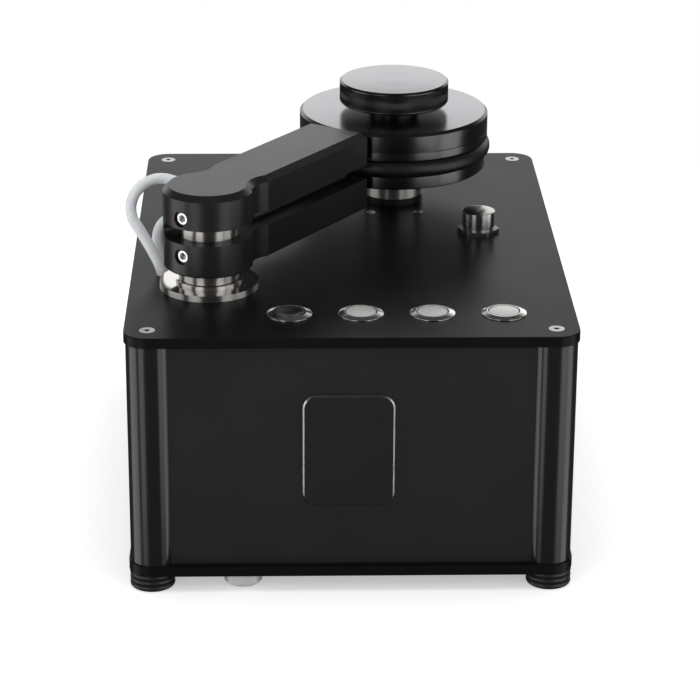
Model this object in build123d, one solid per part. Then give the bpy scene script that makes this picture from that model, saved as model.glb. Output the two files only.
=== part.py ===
"""Record cleaning machine with a clamping platter and a swinging double suction arm.

Millimetres, +Z up, X to the right, Y to the back. The origin is the centre of the
footprint, on the surface that the feet stand on.
"""
from build123d import *
import os
from math import asin, atan2, cos, degrees, hypot, radians, sin, tan

# ---------------------------------------------------------------- driving dimensions
CABINET_WIDTH = 230.0
CABINET_DEPTH = 306.0
CORNER_RADIUS = 12.0
BASE_THICKNESS = 5.5
DECK_THICKNESS = 5.5
PLATE_EDGE_ROUND = 0.4
POST_HEIGHT = 121.0
POST_SIZE = 22.9
POST_INSET = 0.9
POST_LIP_ROUND = 9.0
POST_LIP_MARGIN = 0.3
PANEL_RECESS = 3.5
PANEL_THICKNESS = 3.0
PANEL_ENTRY = 6.0
PANEL_GAP = 0.1
BADGE_WIDTH = 46.8
BADGE_HEIGHT = 61.2
BADGE_THICKNESS = 1.5
BADGE_RADIUS = 7.0
BADGE_BEVEL = 0.7
BADGE_X = -1.6
BADGE_CENTRE_HEIGHT = 78.0

FOOT_RADIUS = 11.7
FOOT_HEIGHT = 9.0
FOOT_BANDS = 3
FOOT_GROOVE = 0.9
FOOT_STUD_RADIUS = 2.0
FOOT_STUD_LENGTH = 16.0

DECK_SCREW_HEAD = 4.05
DECK_SCREW_SHANK = 2.0
DECK_SCREW_LENGTH = 18.0
DECK_SCREW_SOCKET = 1.45
SMALL_SCREW_HEAD = 2.6
SMALL_SCREW_SHANK = 1.4
SMALL_SCREW_LENGTH = 9.5
SMALL_SCREW_SOCKET = 0.95
SCREW_GAP = 0.1
SOCKET_DEPTH = 1.2

DRAIN_FROM_LEFT = 59.0
DRAIN_FROM_FRONT = 12.0
DRAIN_RADIUS = 9.85
DRAIN_HEIGHT = 7.0
DRAIN_THREAD_RADIUS = 3.0
DRAIN_CHAMFER = 0.8

BUTTON_COUNT = 4
BUTTON_FROM_RIGHT = 36.9
BUTTON_PITCH = 36.53
BUTTON_FROM_FRONT = 34.0
BUTTON_BEZEL_RADIUS = 11.6
BUTTON_RIM_HEIGHT = 0.5
BUTTON_BEZEL_HEIGHT = 1.5
BUTTON_CONE_TOP_RADIUS = 8.75
BUTTON_CAP_RADIUS = 8.05
BUTTON_CAP_HEIGHT = 1.4
BUTTON_CAP_THICKNESS = 4.0
BUTTON_GAP = 0.06
BUTTON_TRAVEL = 2.0
BUTTON_SHANK_RADIUS = 9.5
BUTTON_SHANK_LENGTH = 22.0
BUTTON_FLOOR = 2.5
BUTTON_STEM_RADIUS = 2.0
POWER_DISH_RADIUS = 6.55
POWER_DISH_DEPTH = 1.2
POWER_RING_RISE = 0.5

FILLER_FROM_RIGHT = 41.35
FILLER_Y = 9.4
FILLER_HEX_RADIUS = 11.85
FILLER_HEX_ROUND = 2.2
FILLER_HEX_HEIGHT = 2.0
FILLER_HEX_TURN = -7.0
FILLER_TUBE_RADIUS = 8.0
FILLER_BORE_RADIUS = 6.0
FILLER_TUBE_DEPTH = 23.0
FILLER_CAP_RADIUS = 9.1
FILLER_CAP_TOP = 12.0
FILLER_CAP_NECK_RADIUS = 8.5
FILLER_CAP_NECK_HEIGHT = 1.6
FILLER_CAP_CHAMFER = 0.5
FILLER_PLUG_LENGTH = 8.0
FILLER_PLUG_GAP = 0.06

PLATTER_FROM_RIGHT = 86.43
PLATTER_FROM_BACK = 83.0
HOUSING_FLANGE_RADIUS = 16.8
HOUSING_FLANGE_HEIGHT = 3.5
HOUSING_SLEEVE_RADIUS = 14.0
HOUSING_SLEEVE_DEPTH = 13.0
HUB_RADIUS = 17.2
DISC_BOTTOM = 21.0
DISC_THICKNESS = 7.0
DISC_RADIUS = 52.2
CLAMP_RADIUS = 53.3
DISC_CHAMFER = 0.6
SEAL_BULGE_RADIUS = 54.85
SEAL_CROWN_SHARE = 0.84
SEAL_INNER_RADIUS = 44.0
SEAL_THICKNESS = 4.3
UPPER_SEAL_THICKNESS = 5.2
SEAL_BACK_RADIUS = 50.9
LABEL_GAP = 0.7
CLAMP_BAND = 4.6
CLAMP_GROOVE = 0.5
CLAMP_THICKNESS = 15.5
CLAMP_CHAMFER = 1.5
NECK_RADIUS = 14.0
NECK_HEIGHT = 4.1
KNOB_RADIUS = 30.75
KNOB_HEIGHT = 12.9
KNOB_CHAMFER = 1.0
KNOB_ROOF = 6.0
SPINDLE_RADIUS = 3.6
SHAFT_RADIUS = 4.95
SHAFT_GAP = 0.05
BUSH_WALL = 3.0
BUSH_LENGTH = 6.0
RUNNING_GAP = 0.3

BRACKET_THICKNESS = 6.0
BRACKET_DROP = 26.0
BRACKET_HALF_WIDTH = 24.0
BRACKET_BACK = 38.0
BRACKET_FRONT = 54.0
BRACKET_SCREW_X = 13.44
BRACKET_SCREW_Y = 27.5
GEAR_MODULE = 1.0
GEAR_TEETH = 40
PINION_TEETH = 20
GEAR_WIDTH = 6.0
GEAR_TOOTH_SHARE = 0.42
GEAR_TOOTH_TIP = 0.55
GEAR_TOOTH_ROOT = 1.35
GEAR_ADDENDUM = 0.9
GEAR_DEDENDUM = 1.15
GEAR_DROP = 7.0
GEAR_HUB_RADIUS = 8.0
GEAR_HUB_HEIGHT = 4.0
MOTOR_RADIUS = 18.5
MOTOR_LENGTH = 46.0
MOTOR_SHAFT_RADIUS = 2.95
MOTOR_SHAFT_DEPTH = 14.0
MOTOR_CAN_RADIUS = 14.0

ARM_FROM_LEFT = 41.7
ARM_FROM_FRONT = 76.5
ARM_FLANGE_RADIUS = 25.85
ARM_FLANGE_HEIGHT = 3.4
ARM_STEP_RADIUS = 17.35
ARM_STEP_HEIGHT = 5.0
ARM_SLEEVE_RADIUS = 14.5
ARM_SLEEVE_DEPTH = 26.0
ARM_SPINDLE_RADIUS = 8.0
ARM_SPINDLE_GAP = 0.05
ARM_BUSH_WALL = 3.0
ARM_POST_RADIUS = 15.8
ARM_POST_ENTRY = 12.5
ARM_RETAINER_RADIUS = 12.0
ARM_RETAINER_HEIGHT = 3.0
ARM_HEAD_RADIUS = 23.5
ARM_HALF_WIDTH = 19.0
ARM_END_GAP = 1.84
ARM_BOTTOM = 12.0
ARM_SLOT_BOTTOM = 29.5
ARM_SLOT_HEIGHT = 8.0
ARM_TOP = 56.0
ARM_TOP_CHAMFER = 3.0
ARM_LOWER_CHAMFER = 1.0
NOTCH_RADIUS = 14.6
NOTCH_ALONG = 20.0
NOTCH_ACROSS = 31.7
WEB_START = 105.0
WEB_END = 193.0
WEB_STEPS = 4
ARM_SCREW_DIRECTION = 234.1
ARM_SCREW_RADIUS = 3.0
ARM_SCREW_RECESS_RADIUS = 4.25
ARM_SCREW_RECESS_DEPTH = 1.6
ARM_SCREW_SOCKET = 2.2
ARM_SCREW_SOCKET_DEPTH = 3.0
ARM_SCREW_SLACK = 0.05
ARM_SCREW_OVERCUT = 0.5
LOWER_SCREW_HEIGHT = 22.45
UPPER_SCREW_HEIGHT = 42.9
FLANGE_SCREW_CIRCLE = 20.2
FLANGE_SCREW_DIRECTION = -34.6
SLOT_WIDTH = 2.0
SLOT_START = 31.0
SLOT_END_WALL = 3.75
DUCT_RADIUS = 2.2
UPPER_DUCT_RISE = 7.5
LOWER_DUCT_DROP = 4.6
STRIP_WIDTH = 5.0
STRIP_HEIGHT = 1.2
STRIP_OFFSET = 5.0
BARB_BODY_RADIUS = 3.6
BARB_BODY_LENGTH = 2.4
BARB_LENGTH = 4.0
BARB_RADIUS = 2.0
BARB_BORE = 1.2
BARB_SEAT_GAP = 0.5

HOSE_RADIUS = 2.9
HOSE_GAP = 0.15
UPPER_FIRST_RUN = 9.6
LOWER_FIRST_RUN = 7.5
HOSE_DROP = 22.0
GLAND_RADIUS = 5.2
GLAND_LIP = 1.6
GLAND_LIP_HEIGHT = 1.5

TANK_WALL = 2.5
TANK_SIDE_GAP = 3.6
WASTE_TANK_RIGHT = -20.0
WASTE_TANK_BACK = -40.0
WASTE_TANK_HEIGHT = 88.0
TANK_INLET_RADIUS = 5.0
TANK_CLEARANCE = 1.5
FLUID_TANK_HALF_WIDTH = 18.0
FLUID_TANK_FRONT = -50.0
FLUID_TANK_SUPPLY_GAP = 4.0
PUMP_X = 30.0
PUMP_Y = -20.0
PUMP_CAN_RADIUS = 12.0
PUMP_RADIUS = 14.0
PUMP_HEIGHT = 48.0
PUMP_HEAD_HEIGHT = 14.0
PUMP_PORT_RADIUS = 3.0
PUMP_PORT_LENGTH = 9.0
BLOWER_FROM_LEFT = 60.0
BLOWER_FROM_BACK = 91.0
BLOWER_RADIUS = 42.0
BLOWER_HEIGHT = 34.0
BLOWER_WALL = 3.0
BLOWER_EYE_RADIUS = 14.0
BLOWER_LEG_RADIUS = 5.0
BLOWER_LEG_CIRCLE = 35.0
BLOWER_MOTOR_RADIUS = 26.0
BLOWER_MOTOR_HEIGHT = 40.0
IMPELLER_RADIUS = 36.0
IMPELLER_PLATE = 2.0
IMPELLER_HEIGHT = 18.0
IMPELLER_BLADES = 9
IMPELLER_BLADE = 2.0
IMPELLER_BLADE_ENTRY = 1.0
IMPELLER_HUB_RADIUS = 7.0
IMPELLER_SHAFT_RADIUS = 3.0
IMPELLER_SHAFT_LENGTH = 12.0
BOARD_FROM_RIGHT = 29.0
BOARD_FROM_FRONT = 23.0
BOARD_WIDTH = 88.0
BOARD_LENGTH = 60.0
BOARD_THICKNESS = 1.6
BOARD_STANDOFF = 8.0
BOARD_STANDOFF_RADIUS = 3.0
BOARD_EDGE = 5.0
RELAY_X = -16.5
RELAY_WIDTH = 11.0
RELAY_LENGTH = 30.0
RELAY_HEIGHT = 16.0
SINK_X = 14.6
SINK_WIDTH = 14.6
SINK_LENGTH = 20.0
SINK_HEIGHT = 9.0
CONNECTOR_Y = 19.5
CONNECTOR_WIDTH = 11.0
CONNECTOR_LENGTH = 9.0
CONNECTOR_HEIGHT = 8.0
SUPPLY_WIDTH = 34.0
SUPPLY_LENGTH = 64.0
SUPPLY_HEIGHT = 40.0
SUPPLY_FROM_RIGHT = 35.0
SUPPLY_FROM_BACK = 57.0
SUPPLY_CAN_RADIUS = 6.0
SUPPLY_CAN_HEIGHT = 12.0
INLET_X = 42.0
INLET_HEIGHT = 60.0
INLET_WIDTH = 28.0
INLET_TALL = 21.0
INLET_FLANGE = 2.0
INLET_DEPTH = 20.0
INLET_WALL = 2.5
INLET_BACK = 3.0
INLET_PIN_LENGTH = 9.0
INLET_PIN_WIDTH = 2.0
INLET_PIN_TALL = 4.0
INLET_PIN_SPREAD = 7.0
INLET_PIN_LOW = -1.5
INLET_PIN_HIGH = 2.5
VENT_COUNT = 9
VENT_WIDTH = 46.0
VENT_SLOT = 3.0
VENT_PITCH = 7.0
VENT_HEIGHT = 48.0

# ---------------------------------------------------------------- derived heights and faces
BASE_TOP = FOOT_HEIGHT + BASE_THICKNESS
DECK_BOTTOM = BASE_TOP + POST_HEIGHT
DECK = DECK_BOTTOM + DECK_THICKNESS
POST_FACE_X = CABINET_WIDTH / 2 - POST_INSET
POST_FACE_Y = CABINET_DEPTH / 2 - POST_INSET
PANEL_FACE_X = POST_FACE_X - PANEL_RECESS
PANEL_FACE_Y = POST_FACE_Y - PANEL_RECESS
DRAIN_X = DRAIN_FROM_LEFT - CABINET_WIDTH / 2
DRAIN_Y = DRAIN_FROM_FRONT - CABINET_DEPTH / 2
BUTTON_LAST_X = CABINET_WIDTH / 2 - BUTTON_FROM_RIGHT
BUTTON_Y = BUTTON_FROM_FRONT - CABINET_DEPTH / 2
FILLER_X = CABINET_WIDTH / 2 - FILLER_FROM_RIGHT
PLATTER_X = CABINET_WIDTH / 2 - PLATTER_FROM_RIGHT
PLATTER_Y = CABINET_DEPTH / 2 - PLATTER_FROM_BACK
ARM_X = ARM_FROM_LEFT - CABINET_WIDTH / 2
ARM_Y = ARM_FROM_FRONT - CABINET_DEPTH / 2
ARM_TO_PLATTER = hypot(PLATTER_X - ARM_X, PLATTER_Y - ARM_Y)
ARM_DIRECTION = degrees(atan2(PLATTER_Y - ARM_Y, PLATTER_X - ARM_X))
ARM_REACH = ARM_TO_PLATTER - SEAL_BULGE_RADIUS - ARM_END_GAP
SLOT_END = ARM_REACH - SLOT_END_WALL
BLOWER_X = BLOWER_FROM_LEFT - CABINET_WIDTH / 2
BLOWER_Y = CABINET_DEPTH / 2 - BLOWER_FROM_BACK
BOARD_X = CABINET_WIDTH / 2 - BOARD_FROM_RIGHT - BOARD_WIDTH / 2
BOARD_Y = BOARD_FROM_FRONT + BOARD_LENGTH / 2 - CABINET_DEPTH / 2
SUPPLY_X = CABINET_WIDTH / 2 - SUPPLY_FROM_RIGHT
SUPPLY_Y = CABINET_DEPTH / 2 - SUPPLY_FROM_BACK
SCREW_X = CABINET_WIDTH / 2 - CORNER_RADIUS
SCREW_Y = CABINET_DEPTH / 2 - CORNER_RADIUS
CORNERS = {
    "front_left": (-1, -1),
    "front_right": (1, -1),
    "rear_left": (-1, 1),
    "rear_right": (1, 1),
}
HUB_BOTTOM = DECK + HOUSING_FLANGE_HEIGHT + RUNNING_GAP
PLATE_BOTTOM = DECK + DISC_BOTTOM
PLATE_TOP = PLATE_BOTTOM + DISC_THICKNESS
RECORD_PLANE = PLATE_TOP + SEAL_THICKNESS
CLAMP_BOTTOM = RECORD_PLANE + UPPER_SEAL_THICKNESS
CLAMP_TOP = CLAMP_BOTTOM + CLAMP_THICKNESS
KNOB_BOTTOM = CLAMP_TOP + NECK_HEIGHT
KNOB_TOP = KNOB_BOTTOM + KNOB_HEIGHT
GEAR_TOP = DECK_BOTTOM - BRACKET_THICKNESS - GEAR_DROP
GEAR_BOTTOM = GEAR_TOP - GEAR_WIDTH
BRACKET_FLOOR_TOP = DECK_BOTTOM - BRACKET_THICKNESS - BRACKET_DROP
BRACKET_FLOOR = BRACKET_FLOOR_TOP - BRACKET_THICKNESS
GEAR_CENTRES = GEAR_MODULE * (GEAR_TEETH + PINION_TEETH) / 2
PINION_Y = PLATTER_Y - GEAR_CENTRES
ARM_SLOT_TOP = ARM_SLOT_BOTTOM + ARM_SLOT_HEIGHT
UPPER_PORT = ARM_SLOT_TOP + UPPER_DUCT_RISE
LOWER_PORT = ARM_SLOT_BOTTOM - LOWER_DUCT_DROP
POST_BOTTOM = DECK + ARM_STEP_HEIGHT + RUNNING_GAP
POST_TOP = DECK + ARM_SLOT_TOP + ARM_POST_ENTRY
PORT_WALL = NOTCH_ACROSS - NOTCH_RADIUS
BARB_TIP = PORT_WALL + BARB_SEAT_GAP + BARB_BODY_LENGTH + BARB_LENGTH
WASTE_TANK_LEFT = PANEL_THICKNESS + TANK_SIDE_GAP - PANEL_FACE_X
WASTE_TANK_TOP = BASE_TOP + WASTE_TANK_HEIGHT
TANK_FRONT = -(PANEL_FACE_Y - PANEL_THICKNESS) + TANK_CLEARANCE
FLUID_TANK_BACK = SUPPLY_Y - SUPPLY_LENGTH / 2 - FLUID_TANK_SUPPLY_GAP
HOSE_END = DECK - HOSE_DROP


def arm_point(along, across, height):
    """A point given along the arm, to the arm's left, and above the deck."""
    turn = radians(ARM_DIRECTION)
    x = ARM_X + along * cos(turn) - across * sin(turn)
    y = ARM_Y + along * sin(turn) + across * cos(turn)
    return (x, y, DECK + height)


def beside_arm(right, back, height):
    """A point given from the arm's pivot, square to the cabinet, and above the deck."""
    return (ARM_X + right, ARM_Y + back, DECK + height)


# Hose routes: from the barb on the arm, out to the left, over and down into the deck.
UPPER_HOSE_ROUTE = [
    arm_point(NOTCH_ALONG, BARB_TIP, UPPER_PORT),
    arm_point(NOTCH_ALONG, BARB_TIP + UPPER_FIRST_RUN, UPPER_PORT),
    beside_arm(-26.0, 37.9, 47.4),
    beside_arm(-35.3, 35.1, 44.9),
    beside_arm(-41.3, 30.9, 38.0),
    beside_arm(-41.9, 27.7, 29.4),
    beside_arm(-36.7, 24.3, 21.9),
    beside_arm(-31.3, 21.1, 13.6),
    beside_arm(-26.3, 18.1, 4.5),
    beside_arm(-23.5, 16.6, -6.0),
    beside_arm(-23.5, 16.6, -HOSE_DROP),
]
LOWER_HOSE_ROUTE = [
    arm_point(NOTCH_ALONG, BARB_TIP, LOWER_PORT),
    arm_point(NOTCH_ALONG, BARB_TIP + LOWER_FIRST_RUN, LOWER_PORT),
    beside_arm(-19.6, 36.4, 25.4),
    beside_arm(-25.2, 35.1, 23.3),
    beside_arm(-28.2, 32.9, 18.0),
    beside_arm(-28.2, 30.2, 11.8),
    beside_arm(-26.5, 27.2, 5.4),
    beside_arm(-24.2, 24.4, -0.8),
    beside_arm(-23.0, 23.2, -7.0),
    beside_arm(-23.0, 23.2, -HOSE_DROP),
]


# ---------------------------------------------------------------- shape helpers
def block(x0, x1, y0, y1, z0, z1):
    """A box between two corners."""
    return Pos((x0 + x1) / 2, (y0 + y1) / 2, (z0 + z1) / 2) * Box(x1 - x0, y1 - y0, z1 - z0)


def rod(radius, z0, z1, x=0.0, y=0.0):
    """An upright cylinder between two heights."""
    return Pos(x, y, (z0 + z1) / 2) * Cylinder(radius, z1 - z0)


def turned(outline, x=0.0, y=0.0):
    """A turned piece from a closed list of (radius, height) points."""
    face = make_face(Plane.XZ * Polyline(*outline, close=True))
    return Pos(x, y, 0) * revolve(face, Axis.Z)


def plate(width, depth, radius, z0, z1):
    """A flat plate with rounded corners, centred on the origin."""
    return Pos(0, 0, z0) * extrude(RectangleRounded(width, depth, radius), z1 - z0)


def group(shapes):
    """Several separate solids kept together in one node."""
    return Compound([solid for shape in shapes for solid in shape.solids()])


def save(name, shape):
    """Write one named piece."""
    export_step(shape, f"parts/{name}.step")


def screw(head, shank, length, socket):
    """A countersunk screw with its top face at the origin, pointing down."""
    cone = head - shank
    body = turned([(0, 0), (head, 0), (shank, -cone), (shank, -length), (0, -length)])
    key = Pos(0, 0, -SOCKET_DEPTH) * extrude(RegularPolygon(socket, 6), SOCKET_DEPTH)
    return body - key


def screw_hole(head, shank, length):
    """The countersunk hole that takes such a screw, a little larger all round."""
    wide = head + SCREW_GAP
    narrow = shank + SCREW_GAP
    depth = wide - narrow
    bottom = -length - SCREW_GAP
    return turned([(0, 0), (wide, 0), (narrow, -depth), (narrow, bottom), (0, bottom)])


def deck_screw_places():
    """Where the four corner screws sit on the deck."""
    return [Pos(sx * SCREW_X, sy * SCREW_Y, DECK) for sx, sy in CORNERS.values()]


def bracket_screw_places():
    """Where the drive bracket's screws sit on the deck, round the platter."""
    return [
        Pos(PLATTER_X + sx * BRACKET_SCREW_X, PLATTER_Y + sy * BRACKET_SCREW_Y, DECK)
        for sx, sy in CORNERS.values()
    ]


def flange_screw_places():
    """Where the two opposite screws sit on the arm's flange."""
    out_x = FLANGE_SCREW_CIRCLE * cos(radians(FLANGE_SCREW_DIRECTION))
    out_y = FLANGE_SCREW_CIRCLE * sin(radians(FLANGE_SCREW_DIRECTION))
    height = DECK + ARM_FLANGE_HEIGHT
    return [Pos(ARM_X + side * out_x, ARM_Y + side * out_y, height) for side in (1, -1)]


def button_places():
    """X of each push button, left to right."""
    return [BUTTON_LAST_X - BUTTON_PITCH * number for number in reversed(range(BUTTON_COUNT))]


# ---------------------------------------------------------------- cabinet
def deck_hole():
    """Screw hole shared by the deck and the post below it."""
    return screw_hole(DECK_SCREW_HEAD, DECK_SCREW_SHANK, DECK_SCREW_LENGTH)


def bracket_hole():
    """Screw hole shared by the deck and the drive bracket."""
    return screw_hole(SMALL_SCREW_HEAD, SMALL_SCREW_SHANK, SMALL_SCREW_LENGTH)


def gland_outline(extra):
    """Rounded slot round both hoses where they cross the deck."""
    crossings = []
    for route in (UPPER_HOSE_ROUTE, LOWER_HOSE_ROUTE):
        for above, below in zip(route, route[1:]):
            if above[2] > DECK - DECK_THICKNESS / 2 > below[2]:
                crossings.append((Vector(*above) + Vector(*below)) / 2)
    middle = (crossings[0] + crossings[1]) / 2
    reach = abs(crossings[0].Y - crossings[1].Y)
    slot = SlotCenterToCenter(reach, 2 * (GLAND_RADIUS + extra), rotation=90)
    return Pos(middle.X, middle.Y, 0) * slot


def top_plate():
    """The deck, with its holes for everything that stands on it or passes through."""
    deck = plate(CABINET_WIDTH, CABINET_DEPTH, CORNER_RADIUS, DECK_BOTTOM, DECK)
    deck = chamfer(deck.faces().sort_by(Axis.Z)[-1].edges(), PLATE_EDGE_ROUND)
    for place in deck_screw_places():
        deck -= place * deck_hole()
    for place in bracket_screw_places():
        deck -= place * bracket_hole()
    for place in flange_screw_places():
        deck -= place * bracket_hole()
    for x in button_places():
        deck -= rod(BUTTON_SHANK_RADIUS + SCREW_GAP, DECK_BOTTOM, DECK, x, BUTTON_Y)
    deck -= rod(FILLER_TUBE_RADIUS + SCREW_GAP, DECK_BOTTOM, DECK, FILLER_X, FILLER_Y)
    deck -= rod(HOUSING_SLEEVE_RADIUS + SCREW_GAP, DECK_BOTTOM, DECK, PLATTER_X, PLATTER_Y)
    deck -= rod(ARM_SLEEVE_RADIUS + SCREW_GAP, DECK_BOTTOM, DECK, ARM_X, ARM_Y)
    deck -= Pos(0, 0, DECK_BOTTOM) * extrude(gland_outline(SCREW_GAP), DECK_THICKNESS)
    return deck


def base_plate():
    """The bottom plate, drilled for the feet's studs and the drain plug."""
    base = plate(CABINET_WIDTH, CABINET_DEPTH, CORNER_RADIUS, FOOT_HEIGHT, BASE_TOP)
    base = chamfer(base.faces().sort_by(Axis.Z)[0].edges(), PLATE_EDGE_ROUND)
    for sx, sy in CORNERS.values():
        hole = FOOT_STUD_RADIUS + SCREW_GAP
        base -= rod(hole, FOOT_HEIGHT, BASE_TOP, sx * SCREW_X, sy * SCREW_Y)
    base -= rod(DRAIN_THREAD_RADIUS + SCREW_GAP, FOOT_HEIGHT, BASE_TOP, DRAIN_X, DRAIN_Y)
    return base


def corner_post(sx, sy):
    """A rounded corner post with a slot for each of its two panels."""
    inner_x = POST_FACE_X - POST_SIZE
    inner_y = POST_FACE_Y - POST_SIZE
    outline = Pos((inner_x + POST_FACE_X) / 2, (inner_y + POST_FACE_Y) / 2) * Rectangle(POST_SIZE, POST_SIZE)
    corner = outline.vertices().sort_by_distance((POST_FACE_X, POST_FACE_Y, 0))[0]
    outline = fillet(corner, CORNER_RADIUS - POST_INSET)
    wall = POST_SIZE - (CORNER_RADIUS - POST_INSET) - POST_LIP_MARGIN
    for lip in ((inner_x, POST_FACE_Y, 0), (POST_FACE_X, inner_y, 0)):
        outline = fillet(outline.vertices().sort_by_distance(lip)[0], min(POST_LIP_ROUND, wall))
    post = Pos(0, 0, BASE_TOP) * extrude(outline, POST_HEIGHT)
    slot_x = (PANEL_FACE_X - PANEL_THICKNESS - PANEL_GAP, PANEL_FACE_X + PANEL_GAP)
    slot_y = (PANEL_FACE_Y - PANEL_THICKNESS - PANEL_GAP, PANEL_FACE_Y + PANEL_GAP)
    post -= block(inner_x, inner_x + PANEL_ENTRY + PANEL_GAP, *slot_y, BASE_TOP, DECK_BOTTOM)
    post -= block(*slot_x, inner_y, inner_y + PANEL_ENTRY + PANEL_GAP, BASE_TOP, DECK_BOTTOM)
    post -= Pos(SCREW_X, SCREW_Y, DECK) * deck_hole()
    post -= rod(FOOT_STUD_RADIUS + SCREW_GAP, BASE_TOP, BASE_TOP + FOOT_STUD_LENGTH, SCREW_X, SCREW_Y)
    if sx < 0:
        post = mirror(post, Plane.YZ)
    if sy < 0:
        post = mirror(post, Plane.XZ)
    return post


def wide_panel(sy):
    """A front or rear panel, which runs into the slots of two posts."""
    half = POST_FACE_X - POST_SIZE + PANEL_ENTRY
    faces = sorted((sy * PANEL_FACE_Y, sy * (PANEL_FACE_Y - PANEL_THICKNESS)))
    return block(-half, half, *faces, BASE_TOP, DECK_BOTTOM)


def side_panel(sx):
    """A left or right panel."""
    half = POST_FACE_Y - POST_SIZE + PANEL_ENTRY
    faces = sorted((sx * PANEL_FACE_X, sx * (PANEL_FACE_X - PANEL_THICKNESS)))
    return block(*faces, -half, half, BASE_TOP, DECK_BOTTOM)


def rear_panel():
    """The rear panel, with cooling slots behind the blower and the mains opening."""
    panel = wide_panel(1)
    back = PANEL_FACE_Y
    front = back - PANEL_THICKNESS
    for row in range(VENT_COUNT):
        low = VENT_HEIGHT + VENT_PITCH * row
        left = BLOWER_X - VENT_WIDTH / 2
        panel -= block(left, left + VENT_WIDTH, front, back, low, low + VENT_SLOT)
    half = INLET_WIDTH / 2 + PANEL_GAP
    tall = INLET_TALL / 2 + PANEL_GAP
    panel -= block(INLET_X - half, INLET_X + half, front, back, INLET_HEIGHT - tall, INLET_HEIGHT + tall)
    return panel


def badge_plate():
    """A bare rounded plate with a bevelled rim, on the front panel."""
    face = -PANEL_FACE_Y
    outline = Plane.XZ * RectangleRounded(BADGE_WIDTH, BADGE_HEIGHT, BADGE_RADIUS)
    badge = extrude(outline, BADGE_THICKNESS)
    badge = chamfer(badge.faces().sort_by(Axis.Y)[0].edges(), BADGE_BEVEL)
    return Pos(BADGE_X, face, BADGE_CENTRE_HEIGHT) * badge


def foot():
    """A turned foot with bulged bands between V grooves, and a stud on top."""
    band = FOOT_HEIGHT / FOOT_BANDS
    waist = FOOT_RADIUS - FOOT_GROOVE
    rings = []
    for number in range(FOOT_BANDS):
        low = number * band
        arc = ThreePointArc((waist, low), (FOOT_RADIUS, low + band / 2), (waist, low + band))
        rings.append(arc)
    stud_top = FOOT_HEIGHT + FOOT_STUD_LENGTH - SCREW_GAP
    top = Polyline(
        (waist, FOOT_HEIGHT), (FOOT_STUD_RADIUS, FOOT_HEIGHT), (FOOT_STUD_RADIUS, stud_top),
        (0, stud_top), (0, 0), (waist, 0),
    )
    outline = make_face([Plane.XZ * edge for edge in Curve([*rings, top]).edges()])
    return revolve(outline, Axis.Z)


def drain_plug():
    """The turned metal plug under the waste tank."""
    top = FOOT_HEIGHT
    bottom = top - DRAIN_HEIGHT
    side = DRAIN_RADIUS - DRAIN_CHAMFER
    thread_top = BASE_TOP + TANK_WALL
    outline = [
        (0, bottom), (side, bottom), (DRAIN_RADIUS, bottom + DRAIN_CHAMFER),
        (DRAIN_RADIUS, top - DRAIN_CHAMFER), (side, top), (DRAIN_THREAD_RADIUS, top),
        (DRAIN_THREAD_RADIUS, thread_top), (0, thread_top),
    ]
    return turned(outline, DRAIN_X, DRAIN_Y)


def mains_inlet():
    """A three-pin appliance inlet in the rear panel."""
    back = PANEL_FACE_Y
    body = block(
        INLET_X - INLET_WIDTH / 2, INLET_X + INLET_WIDTH / 2, back + INLET_FLANGE - INLET_DEPTH,
        back + INLET_FLANGE, INLET_HEIGHT - INLET_TALL / 2, INLET_HEIGHT + INLET_TALL / 2,
    )
    half = INLET_WIDTH / 2 - INLET_WALL
    tall = INLET_TALL / 2 - INLET_WALL
    floor = back + INLET_FLANGE - INLET_DEPTH + INLET_BACK
    body -= block(
        INLET_X - half, INLET_X + half, floor, back + INLET_FLANGE,
        INLET_HEIGHT - tall, INLET_HEIGHT + tall,
    )
    for side, lift in ((-1, INLET_PIN_LOW), (0, INLET_PIN_HIGH), (1, INLET_PIN_LOW)):
        pin = Box(INLET_PIN_WIDTH, INLET_PIN_LENGTH, INLET_PIN_TALL)
        middle = floor + INLET_PIN_LENGTH / 2
        body += Pos(INLET_X + side * INLET_PIN_SPREAD, middle, INLET_HEIGHT + lift) * pin
    return body


# ---------------------------------------------------------------- controls
def button_bezel(x):
    """A metal button body: conical rim, barrel below the deck and a drilled floor."""
    bore = BUTTON_CAP_RADIUS + BUTTON_GAP
    floor = -BUTTON_SHANK_LENGTH + BUTTON_FLOOR
    stem = BUTTON_STEM_RADIUS + BUTTON_GAP
    outline = [
        (BUTTON_SHANK_RADIUS, 0), (BUTTON_BEZEL_RADIUS, 0), (BUTTON_BEZEL_RADIUS, BUTTON_RIM_HEIGHT),
        (BUTTON_CONE_TOP_RADIUS, BUTTON_BEZEL_HEIGHT), (bore, BUTTON_BEZEL_HEIGHT), (bore, floor),
        (stem, floor), (stem, -BUTTON_SHANK_LENGTH), (BUTTON_SHANK_RADIUS, -BUTTON_SHANK_LENGTH),
    ]
    return Pos(0, 0, DECK) * turned(outline, x, BUTTON_Y)


def button_cap(x, power):
    """A push cap on its stem; the power button's cap has a raised ring round a dish."""
    under = BUTTON_CAP_HEIGHT - BUTTON_CAP_THICKNESS
    stem_end = -BUTTON_SHANK_LENGTH - BUTTON_TRAVEL
    rise = POWER_RING_RISE if power else 0.0
    top = BUTTON_CAP_HEIGHT + rise
    outline = [
        (0, top), (BUTTON_CAP_RADIUS, top), (BUTTON_CAP_RADIUS, under),
        (BUTTON_STEM_RADIUS, under), (BUTTON_STEM_RADIUS, stem_end), (0, stem_end),
    ]
    cap = turned(outline)
    if power:
        ball = (POWER_DISH_RADIUS**2 + POWER_DISH_DEPTH**2) / (2 * POWER_DISH_DEPTH)
        cap -= Pos(0, 0, top - POWER_DISH_DEPTH + ball) * Sphere(ball)
    return Pos(x, BUTTON_Y, DECK) * cap


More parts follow.
